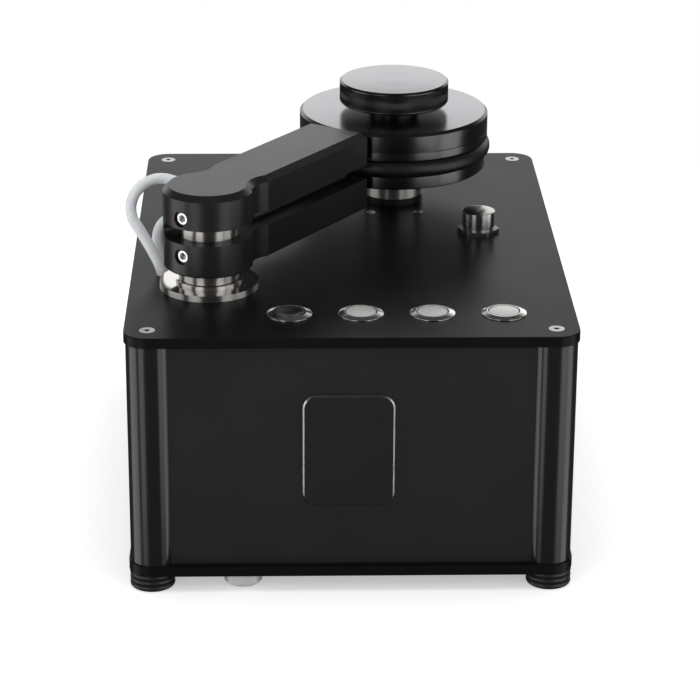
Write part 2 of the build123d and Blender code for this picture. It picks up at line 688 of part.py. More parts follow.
def filler_neck():
    """A hexagonal flange on the deck with the filler tube below it."""
    flats = RegularPolygon(FILLER_HEX_RADIUS, 6, rotation=FILLER_HEX_TURN)
    flats = fillet(flats.vertices(), FILLER_HEX_ROUND)
    neck = Pos(0, 0, DECK) * extrude(flats, FILLER_HEX_HEIGHT)
    neck += rod(FILLER_TUBE_RADIUS, DECK - FILLER_TUBE_DEPTH, DECK)
    neck -= rod(FILLER_BORE_RADIUS, DECK - FILLER_TUBE_DEPTH, DECK + FILLER_HEX_HEIGHT)
    return Pos(FILLER_X, FILLER_Y, 0) * neck


def filler_cap():
    """The small polished cap with its plug in the filler tube."""
    seat = DECK + FILLER_HEX_HEIGHT
    top = DECK + FILLER_CAP_TOP
    plug = FILLER_BORE_RADIUS - FILLER_PLUG_GAP
    edge = FILLER_CAP_RADIUS - FILLER_CAP_CHAMFER
    outline = [
        (0, top), (edge, top), (FILLER_CAP_RADIUS, top - FILLER_CAP_CHAMFER),
        (FILLER_CAP_RADIUS, seat + FILLER_CAP_NECK_HEIGHT),
        (FILLER_CAP_NECK_RADIUS, seat + FILLER_CAP_NECK_HEIGHT - FILLER_CAP_CHAMFER),
        (FILLER_CAP_NECK_RADIUS, seat), (plug, seat), (plug, seat - FILLER_PLUG_LENGTH),
        (0, seat - FILLER_PLUG_LENGTH),
    ]
    return turned(outline, FILLER_X, FILLER_Y)


# ---------------------------------------------------------------- platter and its drive
def bearing_housing():
    """The black flanged sleeve that carries the platter's shaft."""
    inner = SHAFT_RADIUS + SHAFT_GAP
    seat = inner + BUSH_WALL
    low = DECK - HOUSING_SLEEVE_DEPTH
    top = DECK + HOUSING_FLANGE_HEIGHT
    outline = [
        (seat, low), (HOUSING_SLEEVE_RADIUS, low), (HOUSING_SLEEVE_RADIUS, DECK),
        (HOUSING_FLANGE_RADIUS, DECK), (HOUSING_FLANGE_RADIUS, top), (seat, top),
    ]
    return turned(outline, PLATTER_X, PLATTER_Y)


def bearing_bushes():
    """Two bronze bushes, one at each end of the housing."""
    inner = SHAFT_RADIUS + SHAFT_GAP
    outer = inner + BUSH_WALL
    bushes = []
    for low in (DECK - HOUSING_SLEEVE_DEPTH, DECK + HOUSING_FLANGE_HEIGHT - BUSH_LENGTH):
        ring = [(inner, low), (outer, low), (outer, low + BUSH_LENGTH), (inner, low + BUSH_LENGTH)]
        bushes.append(turned(ring, PLATTER_X, PLATTER_Y))
    return group(bushes)


def platter_shaft():
    """The shaft: thick through the bushes, thin above the platter for record and clamp."""
    tip = KNOB_TOP - KNOB_ROOF - RUNNING_GAP
    outline = [
        (0, GEAR_BOTTOM), (SHAFT_RADIUS, GEAR_BOTTOM), (SHAFT_RADIUS, PLATE_BOTTOM),
        (SPINDLE_RADIUS, PLATE_BOTTOM), (SPINDLE_RADIUS, tip), (0, tip),
    ]
    return turned(outline, PLATTER_X, PLATTER_Y)


def platter_hub():
    """The bright hub between the bearing and the lower disc."""
    ring = [
        (SHAFT_RADIUS, HUB_BOTTOM), (HUB_RADIUS, HUB_BOTTOM),
        (HUB_RADIUS, PLATE_BOTTOM), (SHAFT_RADIUS, PLATE_BOTTOM),
    ]
    return turned(ring, PLATTER_X, PLATTER_Y)


def platter_disc():
    """The lower disc, with a raised centre inside the seal."""
    centre_top = RECORD_PLANE - LABEL_GAP
    outline = [
        (SPINDLE_RADIUS, PLATE_BOTTOM), (DISC_RADIUS - DISC_CHAMFER, PLATE_BOTTOM),
        (DISC_RADIUS, PLATE_BOTTOM + DISC_CHAMFER), (DISC_RADIUS, PLATE_TOP),
        (SEAL_INNER_RADIUS, PLATE_TOP), (SEAL_INNER_RADIUS, centre_top), (SPINDLE_RADIUS, centre_top),
    ]
    return turned(outline, PLATTER_X, PLATTER_Y)


def seal(back, face, back_radius):
    """A rubber ring whose outer side bulges out towards the record."""
    middle = back_radius + SEAL_CROWN_SHARE * (SEAL_BULGE_RADIUS - back_radius)
    edges = Curve([
        Polyline((back_radius, back), (SEAL_INNER_RADIUS, back), (SEAL_INNER_RADIUS, face),
                 (SEAL_BULGE_RADIUS, face)),
        ThreePointArc((SEAL_BULGE_RADIUS, face), (middle, (back + face) / 2), (back_radius, back)),
    ]).edges()
    outline = make_face([Plane.XZ * edge for edge in edges])
    return Pos(PLATTER_X, PLATTER_Y, 0) * revolve(outline, Axis.Z)


def clamp_disc():
    """The upper disc: a lower band, a fine groove and a chamfered top."""
    inner = SPINDLE_RADIUS + SHAFT_GAP
    groove = CLAMP_BOTTOM + CLAMP_BAND
    waist = CLAMP_RADIUS - CLAMP_GROOVE
    outline = [
        (inner, RECORD_PLANE + LABEL_GAP), (SEAL_INNER_RADIUS, RECORD_PLANE + LABEL_GAP),
        (SEAL_INNER_RADIUS, CLAMP_BOTTOM), (CLAMP_RADIUS - DISC_CHAMFER, CLAMP_BOTTOM),
        (CLAMP_RADIUS, CLAMP_BOTTOM + DISC_CHAMFER), (CLAMP_RADIUS, groove),
        (waist, groove), (waist, groove + CLAMP_GROOVE), (CLAMP_RADIUS, groove + CLAMP_GROOVE),
        (CLAMP_RADIUS, CLAMP_TOP - CLAMP_CHAMFER), (CLAMP_RADIUS - CLAMP_CHAMFER, CLAMP_TOP),
        (inner, CLAMP_TOP),
    ]
    return turned(outline, PLATTER_X, PLATTER_Y)


def clamp_knob():
    """The wide hand knob on its neck, bored for the spindle."""
    inner = SPINDLE_RADIUS + SHAFT_GAP
    side = KNOB_RADIUS - KNOB_CHAMFER
    outline = [
        (inner, CLAMP_TOP), (NECK_RADIUS, CLAMP_TOP), (NECK_RADIUS, KNOB_BOTTOM), (side, KNOB_BOTTOM),
        (KNOB_RADIUS, KNOB_BOTTOM + KNOB_CHAMFER), (KNOB_RADIUS, KNOB_TOP - KNOB_CHAMFER),
        (side, KNOB_TOP), (0, KNOB_TOP), (0, KNOB_TOP - KNOB_ROOF), (inner, KNOB_TOP - KNOB_ROOF),
    ]
    return turned(outline, PLATTER_X, PLATTER_Y)


def spur_gear(teeth, half_tooth_first, bore):
    """A spur gear with straight-sided teeth, its mid-plane hub on the lower side."""
    pitch = GEAR_MODULE * teeth / 2
    tip = pitch + GEAR_ADDENDUM * GEAR_MODULE
    root = pitch - GEAR_DEDENDUM * GEAR_MODULE
    step = 360 / teeth
    offset = step / 2 if half_tooth_first else 0.0
    points = []
    for tooth in range(teeth):
        centre = tooth * step + offset
        half = step * GEAR_TOOTH_SHARE / 2
        narrow = half * GEAR_TOOTH_TIP
        wide = half * GEAR_TOOTH_ROOT
        for turn, radius in ((-wide, root), (-narrow, tip), (narrow, tip), (wide, root)):
            angle = radians(centre + turn)
            points.append((radius * cos(angle), radius * sin(angle)))
    gear = extrude(make_face(Polyline(*points, close=True)), GEAR_WIDTH)
    return gear - Cylinder(bore, 4 * GEAR_WIDTH)


def platter_gear():
    """The large gear on the platter's shaft."""
    gear = spur_gear(GEAR_TEETH, False, SHAFT_RADIUS)
    hub = rod(GEAR_HUB_RADIUS, GEAR_WIDTH, GEAR_WIDTH + GEAR_HUB_HEIGHT)
    hub -= rod(SHAFT_RADIUS, GEAR_WIDTH, GEAR_WIDTH + GEAR_HUB_HEIGHT)
    return Pos(PLATTER_X, PLATTER_Y, GEAR_BOTTOM) * (gear + hub)


def motor_pinion():
    """The small gear with the motor's output shaft, one solid turning in the motor."""
    gear = spur_gear(PINION_TEETH, True, GEAR_MODULE)
    shaft = rod(MOTOR_SHAFT_RADIUS, BRACKET_FLOOR - MOTOR_SHAFT_DEPTH, GEAR_TOP)
    return Pos(PLATTER_X, PINION_Y, 0) * (Pos(0, 0, GEAR_BOTTOM) * gear + shaft)


def drive_motor():
    """The geared motor that hangs under the drive bracket."""
    top = BRACKET_FLOOR
    can_bottom = top - MOTOR_LENGTH
    gearbox = rod(MOTOR_RADIUS, top - MOTOR_LENGTH / 2, top)
    can = rod(MOTOR_CAN_RADIUS, can_bottom, top - MOTOR_LENGTH / 2)
    bore = rod(MOTOR_SHAFT_RADIUS + SHAFT_GAP, top - MOTOR_SHAFT_DEPTH - RUNNING_GAP, top)
    return Pos(PLATTER_X, PINION_Y, 0) * (gearbox + can - bore)


def drive_bracket():
    """A folded frame under the deck: top for the bearing, floor for the motor."""
    left = PLATTER_X - BRACKET_HALF_WIDTH
    right = PLATTER_X + BRACKET_HALF_WIDTH
    front = PLATTER_Y - BRACKET_FRONT
    back = PLATTER_Y + BRACKET_BACK
    frame = block(left, right, front, back, BRACKET_FLOOR, DECK_BOTTOM)
    wall_front = front + BRACKET_THICKNESS
    wall_back = back - BRACKET_THICKNESS
    frame -= block(left, right, wall_front, wall_back, BRACKET_FLOOR_TOP, DECK_BOTTOM - BRACKET_THICKNESS)
    frame -= rod(HOUSING_SLEEVE_RADIUS + SCREW_GAP, BRACKET_FLOOR_TOP, DECK_BOTTOM, PLATTER_X, PLATTER_Y)
    hole = MOTOR_SHAFT_RADIUS + RUNNING_GAP
    frame -= rod(hole, BRACKET_FLOOR, BRACKET_FLOOR_TOP, PLATTER_X, PINION_Y)
    for place in bracket_screw_places():
        frame -= place * bracket_hole()
    return frame


# ---------------------------------------------------------------- suction arm
def arm_base():
    """The polished flange, its step ring and the sleeve that goes down through the deck."""
    seat = ARM_SPINDLE_RADIUS + ARM_SPINDLE_GAP + ARM_BUSH_WALL
    low = DECK - ARM_SLEEVE_DEPTH
    flange_top = DECK + ARM_FLANGE_HEIGHT
    step_top = DECK + ARM_STEP_HEIGHT
    outline = [
        (seat, low), (ARM_SLEEVE_RADIUS, low), (ARM_SLEEVE_RADIUS, DECK), (ARM_FLANGE_RADIUS, DECK),
        (ARM_FLANGE_RADIUS, flange_top), (ARM_STEP_RADIUS, flange_top), (ARM_STEP_RADIUS, step_top),
        (seat, step_top),
    ]
    base = turned(outline, ARM_X, ARM_Y)
    for place in flange_screw_places():
        base -= place * bracket_hole()
    return base


def arm_bush():
    """The bronze bush in the arm's sleeve."""
    inner = ARM_SPINDLE_RADIUS + ARM_SPINDLE_GAP
    outer = inner + ARM_BUSH_WALL
    low = DECK - ARM_SLEEVE_DEPTH
    top = DECK + ARM_STEP_HEIGHT
    return turned([(inner, low), (outer, low), (outer, top), (inner, top)], ARM_X, ARM_Y)


def arm_post():
    """The polished post that the arms clamp onto, with its spindle and retaining collar."""
    collar_top = DECK - ARM_SLEEVE_DEPTH - RUNNING_GAP
    collar_low = collar_top - ARM_RETAINER_HEIGHT
    outline = [
        (0, collar_low), (ARM_RETAINER_RADIUS, collar_low), (ARM_RETAINER_RADIUS, collar_top),
        (ARM_SPINDLE_RADIUS, collar_top), (ARM_SPINDLE_RADIUS, POST_BOTTOM),
        (ARM_POST_RADIUS, POST_BOTTOM), (ARM_POST_RADIUS, POST_TOP), (0, POST_TOP),
    ]
    return turned(outline, ARM_X, ARM_Y)


def arm_outline():
    """Plan of the arm along its own X: round head, straight bar and two side notches."""
    bar = Pos(ARM_REACH / 2, 0) * Rectangle(ARM_REACH, 2 * ARM_HALF_WIDTH)
    outline = Circle(ARM_HEAD_RADIUS) + bar
    for side in (-1, 1):
        outline -= Pos(NOTCH_ALONG, side * NOTCH_ACROSS) * Circle(NOTCH_RADIUS)
    return outline


def arm_frame(height=0.0):
    """Placement of the arm's own axes on the deck."""
    return Pos(ARM_X, ARM_Y, DECK + height) * Rot(0, 0, ARM_DIRECTION)


def across_rod(radius, along, start, end, height):
    """A rod square across the arm, from one side distance to another."""
    middle = (start + end) / 2
    return Pos(along, middle, height) * Rot(90, 0, 0) * Cylinder(radius, abs(end - start))


def suction_duct(port, face):
    """The cross hole, the long duct and the narrow slot that opens at the record side."""
    long_duct = Pos((NOTCH_ALONG + SLOT_END) / 2, 0, port) * Rot(0, 90, 0)
    duct = long_duct * Cylinder(DUCT_RADIUS, SLOT_END - NOTCH_ALONG)
    duct += across_rod(DUCT_RADIUS, NOTCH_ALONG, 0, PORT_WALL + DUCT_RADIUS, port)
    low, high = sorted((port, face))
    half = SLOT_WIDTH / 2
    return duct + block(SLOT_START, SLOT_END, -half, half, low, high)


def screw_pocket(height):
    """The recess and tapped hole of one set screw in the arm's head."""
    turn = ARM_SCREW_DIRECTION - ARM_DIRECTION
    outer = ARM_HEAD_RADIUS + ARM_SCREW_RECESS_DEPTH
    floor = ARM_HEAD_RADIUS - ARM_SCREW_RECESS_DEPTH
    wide = Pos((outer + floor) / 2, 0, height) * Rot(0, 90, 0) * Cylinder(ARM_SCREW_RECESS_RADIUS, outer - floor)
    narrow_length = floor - ARM_POST_RADIUS + 2 * ARM_SCREW_OVERCUT
    narrow_middle = (floor + ARM_POST_RADIUS) / 2
    hole = ARM_SCREW_RADIUS + ARM_SCREW_SLACK
    narrow = Pos(narrow_middle, 0, height) * Rot(0, 90, 0) * Cylinder(hole, narrow_length)
    return Rot(0, 0, turn) * (wide + narrow)


def web():
    """The part of the head that joins both arms behind the slot, with round slot ends."""
    lift = ARM_SLOT_HEIGHT / 2
    overhang = degrees(asin(lift / ARM_HEAD_RADIUS))
    start = WEB_START - overhang - ARM_DIRECTION
    span = WEB_END - WEB_START + 2 * overhang
    reach = 2 * ARM_HEAD_RADIUS
    ring = [(0.0, 0.0)]
    for number in range(WEB_STEPS + 1):
        angle = radians(start + span * number / WEB_STEPS)
        ring.append((reach * cos(angle), reach * sin(angle)))
    sector = make_face(Polyline(*ring, close=True))
    shape = Pos(0, 0, ARM_SLOT_BOTTOM) * extrude(arm_outline() & sector, ARM_SLOT_HEIGHT)
    for angle in (start, start + span):
        cutter = Rot(0, 0, angle) * Pos(ARM_HEAD_RADIUS, 0, ARM_SLOT_BOTTOM + lift) * Rot(0, 90, 0)
        shape -= cutter * Cylinder(lift, 2 * ARM_HEAD_RADIUS)
    return shape


def lower_arm():
    """The arm below the record, with the web that carries the upper arm."""
    arm = Pos(0, 0, ARM_BOTTOM) * extrude(arm_outline(), ARM_SLOT_BOTTOM - ARM_BOTTOM)
    arm = chamfer(arm.faces().sort_by(Axis.Z)[0].edges(), ARM_LOWER_CHAMFER)
    arm += web()
    arm -= rod(ARM_POST_RADIUS + ARM_SCREW_SLACK, ARM_BOTTOM, ARM_SLOT_TOP)
    arm -= suction_duct(LOWER_PORT, ARM_SLOT_BOTTOM)
    arm -= screw_pocket(LOWER_SCREW_HEIGHT)
    return arm_frame() * arm


def upper_arm():
    """The arm above the record, chamfered round its top."""
    arm = Pos(0, 0, ARM_SLOT_TOP) * extrude(arm_outline(), ARM_TOP - ARM_SLOT_TOP)
    arm = chamfer(arm.faces().sort_by(Axis.Z)[-1].edges(), ARM_TOP_CHAMFER)
    top = ARM_SLOT_TOP + ARM_POST_ENTRY + ARM_SCREW_SLACK
    arm -= rod(ARM_POST_RADIUS + ARM_SCREW_SLACK, ARM_SLOT_TOP, top)
    arm -= suction_duct(UPPER_PORT, ARM_SLOT_TOP)
    arm -= screw_pocket(UPPER_SCREW_HEIGHT)
    return arm_frame() * arm


def arm_set_screws():
    """Two socket set screws that clamp the arms on the post."""
    turn = ARM_SCREW_DIRECTION - ARM_DIRECTION
    outer = ARM_HEAD_RADIUS - ARM_SCREW_RECESS_DEPTH
    inner = ARM_POST_RADIUS + ARM_SCREW_SLACK
    screws = []
    for height in (LOWER_SCREW_HEIGHT, UPPER_SCREW_HEIGHT):
        along = Rot(0, 0, turn) * Pos(inner, 0, height) * Rot(0, 90, 0)
        body = extrude(Circle(ARM_SCREW_RADIUS), outer - inner)
        key = extrude(RegularPolygon(ARM_SCREW_SOCKET, 6), ARM_SCREW_SOCKET_DEPTH)
        body -= Pos(0, 0, outer - inner - ARM_SCREW_SOCKET_DEPTH) * key
        screws.append(arm_frame() * along * body)
    return group(screws)


def wiper_strips():
    """Velvet strips on both sides of each suction slot."""
    strips = []
    for low in (ARM_SLOT_BOTTOM, ARM_SLOT_TOP - STRIP_HEIGHT):
        for side in (-1, 1):
            inner = side * STRIP_OFFSET - STRIP_WIDTH / 2
            strip = block(SLOT_START, SLOT_END, inner, inner + STRIP_WIDTH, low, low + STRIP_HEIGHT)
            strips.append(arm_frame() * strip)
    return group(strips)


def hose_barbs():
    """The two bored hose connectors in the arm's left notch."""
    seat = PORT_WALL + BARB_SEAT_GAP
    face = seat + BARB_BODY_LENGTH
    inner = PORT_WALL / 2
    barbs = []
    for port in (UPPER_PORT, LOWER_PORT):
        barb = across_rod(DUCT_RADIUS - ARM_SCREW_SLACK, NOTCH_ALONG, inner, seat, port)
        barb += across_rod(BARB_BODY_RADIUS, NOTCH_ALONG, seat, face, port)
        barb += across_rod(BARB_RADIUS, NOTCH_ALONG, face, BARB_TIP, port)
        barb -= across_rod(BARB_BORE, NOTCH_ALONG, inner, BARB_TIP, port)
        barbs.append(arm_frame() * barb)
    return group(barbs)


# ---------------------------------------------------------------- hoses
def hose_path(route):
    """Straight runs joined by the widest arcs that the runs allow."""
    points = [Vector(*point) for point in route]
    radii = []
    for before, corner, after in zip(points, points[1:], points[2:]):
        first = corner - before
        second = after - corner
        shorter = min(first.length, second.length)
        radii.append(0.45 * shorter / tan(radians(first.get_angle(second) / 2)))
    print("hose bend radii", [round(radius, 1) for radius in radii])
    return FilletPolyline(*points, radius=radii)


def hose(route, radius):
    """A round tube of one radius along a route."""
    path = hose_path(route)
    start = Plane(origin=path @ 0, z_dir=path % 0)
    tube = sweep(start * Circle(radius), path=path)
    section = Circle(radius).area
    print("hose length", round(path.length, 1), "volume share", round(tube.volume / section / path.length, 4))
    return tube


def hose_gland():
    """The rubber gland that both hoses pass through, flush with the deck."""
    body = Pos(0, 0, DECK_BOTTOM) * extrude(gland_outline(0), DECK_THICKNESS)
    lip = Pos(0, 0, DECK_BOTTOM - GLAND_LIP_HEIGHT) * extrude(gland_outline(GLAND_LIP), GLAND_LIP_HEIGHT)
    gland = body + lip
    for route in (UPPER_HOSE_ROUTE, LOWER_HOSE_ROUTE):
        gland -= hose(route, HOSE_RADIUS + HOSE_GAP)
    return gland


# ---------------------------------------------------------------- inside the cabinet
def waste_tank_block(wall):
    """The waste tank's shape, drawn in by a wall, with a step round the corner post."""
    low = BASE_TOP + wall
    top = WASTE_TANK_TOP - wall
    back = WASTE_TANK_BACK - wall
    right = WASTE_TANK_RIGHT - wall
    step_x = POST_SIZE - POST_FACE_X + TANK_CLEARANCE + wall
    step_y = POST_SIZE - POST_FACE_Y + TANK_CLEARANCE + wall
    front_part = block(step_x, right, TANK_FRONT + wall, back, low, top)
    return front_part + block(WASTE_TANK_LEFT + wall, right, step_y, back, low, top)


def waste_tank():
    """A closed tank for the drawn-off fluid, with a tall inlet under each hose."""
    tank = waste_tank_block(0.0) - waste_tank_block(TANK_WALL)
    for route in (UPPER_HOSE_ROUTE, LOWER_HOSE_ROUTE):
        tank += rod(TANK_INLET_RADIUS, WASTE_TANK_TOP - TANK_WALL, HOSE_END, *route[-1][:2])
    for route in (UPPER_HOSE_ROUTE, LOWER_HOSE_ROUTE):
        tank -= rod(BARB_RADIUS, WASTE_TANK_TOP - 2 * TANK_WALL, HOSE_END, *route[-1][:2])
    tank -= rod(DRAIN_THREAD_RADIUS + SCREW_GAP, BASE_TOP, BASE_TOP + 2 * TANK_WALL, DRAIN_X, DRAIN_Y)
    return tank


def fluid_tank():
    """The clean fluid tank under the filler."""
    left = FILLER_X - FLUID_TANK_HALF_WIDTH
    right = FILLER_X + FLUID_TANK_HALF_WIDTH
    top = DECK - FILLER_TUBE_DEPTH
    tank = block(left, right, FLUID_TANK_FRONT, FLUID_TANK_BACK, BASE_TOP, top)
    tank -= block(
        left + TANK_WALL, right - TANK_WALL, FLUID_TANK_FRONT + TANK_WALL,
        FLUID_TANK_BACK - TANK_WALL, BASE_TOP + TANK_WALL, top - TANK_WALL,
    )
    return tank - rod(FILLER_BORE_RADIUS, top - 2 * TANK_WALL, top, FILLER_X, FILLER_Y)


def fluid_pump():
    """A small pump: motor can, wider head and two ports."""
    head_low = BASE_TOP + PUMP_HEIGHT - PUMP_HEAD_HEIGHT
    top = BASE_TOP + PUMP_HEIGHT
    pump = rod(PUMP_CAN_RADIUS, BASE_TOP, head_low, PUMP_X, PUMP_Y)
    pump += rod(PUMP_RADIUS, head_low, top, PUMP_X, PUMP_Y)
    for side in (-1, 1):
        pump += rod(PUMP_PORT_RADIUS, top, top + PUMP_PORT_LENGTH, PUMP_X + side * PUMP_RADIUS / 2, PUMP_Y)
    return pump


def vacuum_housing():
    """The blower casing with its motor on top and an eye underneath the impeller."""
    shell_low = BASE_TOP + BLOWER_HEIGHT
    shell_top = shell_low + BLOWER_HEIGHT
    wall = BLOWER_WALL
    casing = rod(BLOWER_RADIUS, shell_low - BLOWER_HEIGHT / 2, shell_top)
    casing -= rod(BLOWER_RADIUS - wall, shell_low - BLOWER_HEIGHT / 2 + wall, shell_top - wall)
    casing -= rod(BLOWER_EYE_RADIUS, shell_low - BLOWER_HEIGHT / 2, shell_low)
    casing += rod(BLOWER_MOTOR_RADIUS, shell_top, shell_top + BLOWER_MOTOR_HEIGHT)
    bore = IMPELLER_SHAFT_RADIUS + SHAFT_GAP
    casing -= rod(bore, shell_top - wall, shell_top - wall + IMPELLER_SHAFT_LENGTH + RUNNING_GAP)
    for corner in range(3):
        turn = radians(90 + 120 * corner)
        x = BLOWER_LEG_CIRCLE * cos(turn)
        y = BLOWER_LEG_CIRCLE * sin(turn)
        casing += rod(BLOWER_LEG_RADIUS, BASE_TOP, shell_low - BLOWER_HEIGHT / 2, x, y)
    return Pos(BLOWER_X, BLOWER_Y, 0) * casing


def vacuum_impeller():
    """The blower's impeller on its shaft: back plate, hub and radial blades."""
    top = BASE_TOP + 2 * BLOWER_HEIGHT - BLOWER_WALL
    plate_low = top - 2 * BLOWER_WALL
    wheel = rod(IMPELLER_RADIUS, plate_low - IMPELLER_PLATE, plate_low)
    wheel += rod(IMPELLER_HUB_RADIUS, plate_low - IMPELLER_HEIGHT, plate_low)
    low = plate_low - IMPELLER_HEIGHT
    for number in range(IMPELLER_BLADES):
        inner = IMPELLER_HUB_RADIUS - IMPELLER_BLADE_ENTRY
        half = IMPELLER_BLADE / 2
        blade = block(inner, IMPELLER_RADIUS, -half, half, low, plate_low)
        wheel += Rot(0, 0, 360 / IMPELLER_BLADES * number) * blade
    wheel += rod(IMPELLER_SHAFT_RADIUS, plate_low, top + IMPELLER_SHAFT_LENGTH)
    return Pos(BLOWER_X, BLOWER_Y, 0) * wheel


def control_board():
    """The circuit board on four standoffs, with a relay, a heat sink and a connector."""
    low = BASE_TOP + BOARD_STANDOFF
    top = low + BOARD_THICKNESS
    half_x = BOARD_WIDTH / 2
    half_y = BOARD_LENGTH / 2
    board = block(-half_x, half_x, -half_y, half_y, low, top)
    for sx, sy in CORNERS.values():
        x = sx * (half_x - BOARD_EDGE)
        y = sy * (half_y - BOARD_EDGE)
        board += rod(BOARD_STANDOFF_RADIUS, BASE_TOP, low, x, y)
    for x, y, width, length, height in (
        (RELAY_X, 0, RELAY_WIDTH, RELAY_LENGTH, RELAY_HEIGHT),
        (SINK_X, 0, SINK_WIDTH, SINK_LENGTH, SINK_HEIGHT),
        (0, CONNECTOR_Y, CONNECTOR_WIDTH, CONNECTOR_LENGTH, CONNECTOR_HEIGHT),
    ):
        board += Pos(x, y, top + height / 2) * Box(width, length, height)
    return Pos(BOARD_X, BOARD_Y, 0) * board


def power_supply():
    """The enclosed power supply, with two capacitors on top."""
    top = BASE_TOP + SUPPLY_HEIGHT
    half = SUPPLY_WIDTH / 2
    box = block(-half, half, -SUPPLY_LENGTH / 2, SUPPLY_LENGTH / 2, BASE_TOP, top)
    for side in (-1, 1):
        box += rod(SUPPLY_CAN_RADIUS, top, top + SUPPLY_CAN_HEIGHT, 0, side * SUPPLY_LENGTH / 4)
    return Pos(SUPPLY_X, SUPPLY_Y, 0) * box


# ---------------------------------------------------------------- write every piece
def save_cabinet():
    """Cabinet, feet, fasteners, drain and inlet."""
    save("top_plate", top_plate())
    save("base_plate", base_plate())
    for corner, (sx, sy) in CORNERS.items():
        save(f"post_{corner}", corner_post(sx, sy))
        save(f"foot_{corner}", Pos(sx * SCREW_X, sy * SCREW_Y, 0) * foot())
    save("front_panel", wide_panel(-1))
    save("rear_panel", rear_panel())
    save("left_panel", side_panel(-1))
    save("right_panel", side_panel(1))
    save("badge_plate", badge_plate())
    large = screw(DECK_SCREW_HEAD, DECK_SCREW_SHANK, DECK_SCREW_LENGTH, DECK_SCREW_SOCKET)
    save("deck_screws", group([place * large for place in deck_screw_places()]))
    small = screw(SMALL_SCREW_HEAD, SMALL_SCREW_SHANK, SMALL_SCREW_LENGTH, SMALL_SCREW_SOCKET)
    places = bracket_screw_places() + flange_screw_places()
    save("small_screws", group([place * small for place in places]))
    save("drain_plug", drain_plug())
    save("mains_inlet", mains_inlet())


def save_controls():
    """Push buttons and the filler."""
    for number, x in enumerate(button_places(), start=1):
        save(f"button_bezel_{number}", button_bezel(x))
        save(f"button_cap_{number}", button_cap(x, number == 1))
    save("filler_neck", filler_neck())
    save("filler_cap", filler_cap())


def save_platter():
    """Bearing, platter, clamp and drive."""
    save("bearing_housing", bearing_housing())
    save("bearing_bushes", bearing_bushes())
    save("platter_shaft", platter_shaft())
    save("platter_hub", platter_hub())
    save("platter_disc", platter_disc())
    save("lower_seal", seal(PLATE_TOP, RECORD_PLANE, DISC_RADIUS))
    save("upper_seal", seal(CLAMP_BOTTOM, RECORD_PLANE, SEAL_BACK_RADIUS))
    save("clamp_disc", clamp_disc())
    save("clamp_knob", clamp_knob())
    save("platter_gear", platter_gear())
    save("motor_pinion", motor_pinion())
    save("drive_motor", drive_motor())
    save("drive_bracket", drive_bracket())


def save_arm():
    """Arm base, post, both arms and their hoses."""
    save("arm_base", arm_base())
    save("arm_bush", arm_bush())
    save("arm_post", arm_post())
    save("lower_arm", lower_arm())
    save("upper_arm", upper_arm())
    save("arm_set_screws", arm_set_screws())
    save("wiper_strips", wiper_strips())
    save("hose_barbs", hose_barbs())
    save("hose_upper", hose(UPPER_HOSE_ROUTE, HOSE_RADIUS))
    save("hose_lower", hose(LOWER_HOSE_ROUTE, HOSE_RADIUS))
    save("hose_gland", hose_gland())


def save_inside():
    """Tanks, pump, blower and electrics."""
    save("waste_tank", waste_tank())
    save("fluid_tank", fluid_tank())
    save("fluid_pump", fluid_pump())
    save("vacuum_housing", vacuum_housing())
    save("vacuum_impeller", vacuum_impeller())
    save("control_board", control_board())
    save("power_supply", power_supply())


os.makedirs("parts", exist_ok=True)
save_cabinet()
save_controls()
save_platter()
save_arm()
save_inside()
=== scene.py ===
"""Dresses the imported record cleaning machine: finishes, turned parts, hoses and studio.

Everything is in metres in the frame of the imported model: +Z up, the buttons towards -Y.
"""

import logging
import math
from dataclasses import dataclass
from enum import Enum

import bmesh
import bpy
import numpy as np
from mathutils import Matrix, Vector


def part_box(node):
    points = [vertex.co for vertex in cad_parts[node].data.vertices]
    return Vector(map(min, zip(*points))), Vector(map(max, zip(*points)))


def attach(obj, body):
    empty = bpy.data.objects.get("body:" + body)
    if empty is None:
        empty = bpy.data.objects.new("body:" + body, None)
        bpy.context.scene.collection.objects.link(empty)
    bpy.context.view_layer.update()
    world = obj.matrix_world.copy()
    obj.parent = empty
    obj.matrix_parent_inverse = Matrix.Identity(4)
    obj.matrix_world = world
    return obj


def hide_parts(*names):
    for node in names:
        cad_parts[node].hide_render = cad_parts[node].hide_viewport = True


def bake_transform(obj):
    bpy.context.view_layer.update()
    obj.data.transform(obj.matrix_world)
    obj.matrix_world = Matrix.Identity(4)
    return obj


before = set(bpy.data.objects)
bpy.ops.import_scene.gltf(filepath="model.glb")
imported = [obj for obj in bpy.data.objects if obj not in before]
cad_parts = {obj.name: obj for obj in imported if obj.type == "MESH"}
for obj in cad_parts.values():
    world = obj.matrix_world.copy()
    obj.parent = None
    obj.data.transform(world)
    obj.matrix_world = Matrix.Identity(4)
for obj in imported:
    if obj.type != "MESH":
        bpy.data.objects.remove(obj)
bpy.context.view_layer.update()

MM = 0.001
FULL_TURN = 2 * math.pi
FLAT = 0.99  # cosine of the tilt up to which a face counts as flat
STRAIGHT = -0.9999  # cosine past which two sides of an outline are in line
DISC_SIDES = 192
WHITE = (1.0, 1.0, 1.0, 1.0)
LOG = logging.getLogger("record_cleaner")
Colour = tuple[float, float, float]
Place = tuple[float, float, float]
Mesh = bpy.types.Mesh
Material = bpy.types.Material
Node = bpy.types.Node
Socket = bpy.types.NodeSocket


# ---------------------------------------------------------------- shapes
@dataclass(frozen=True)
class Corner:
    """One corner of a turned outline: radius, height and the size of its rounding."""

    radius: float
    height: float
    rounding: float = 0.0


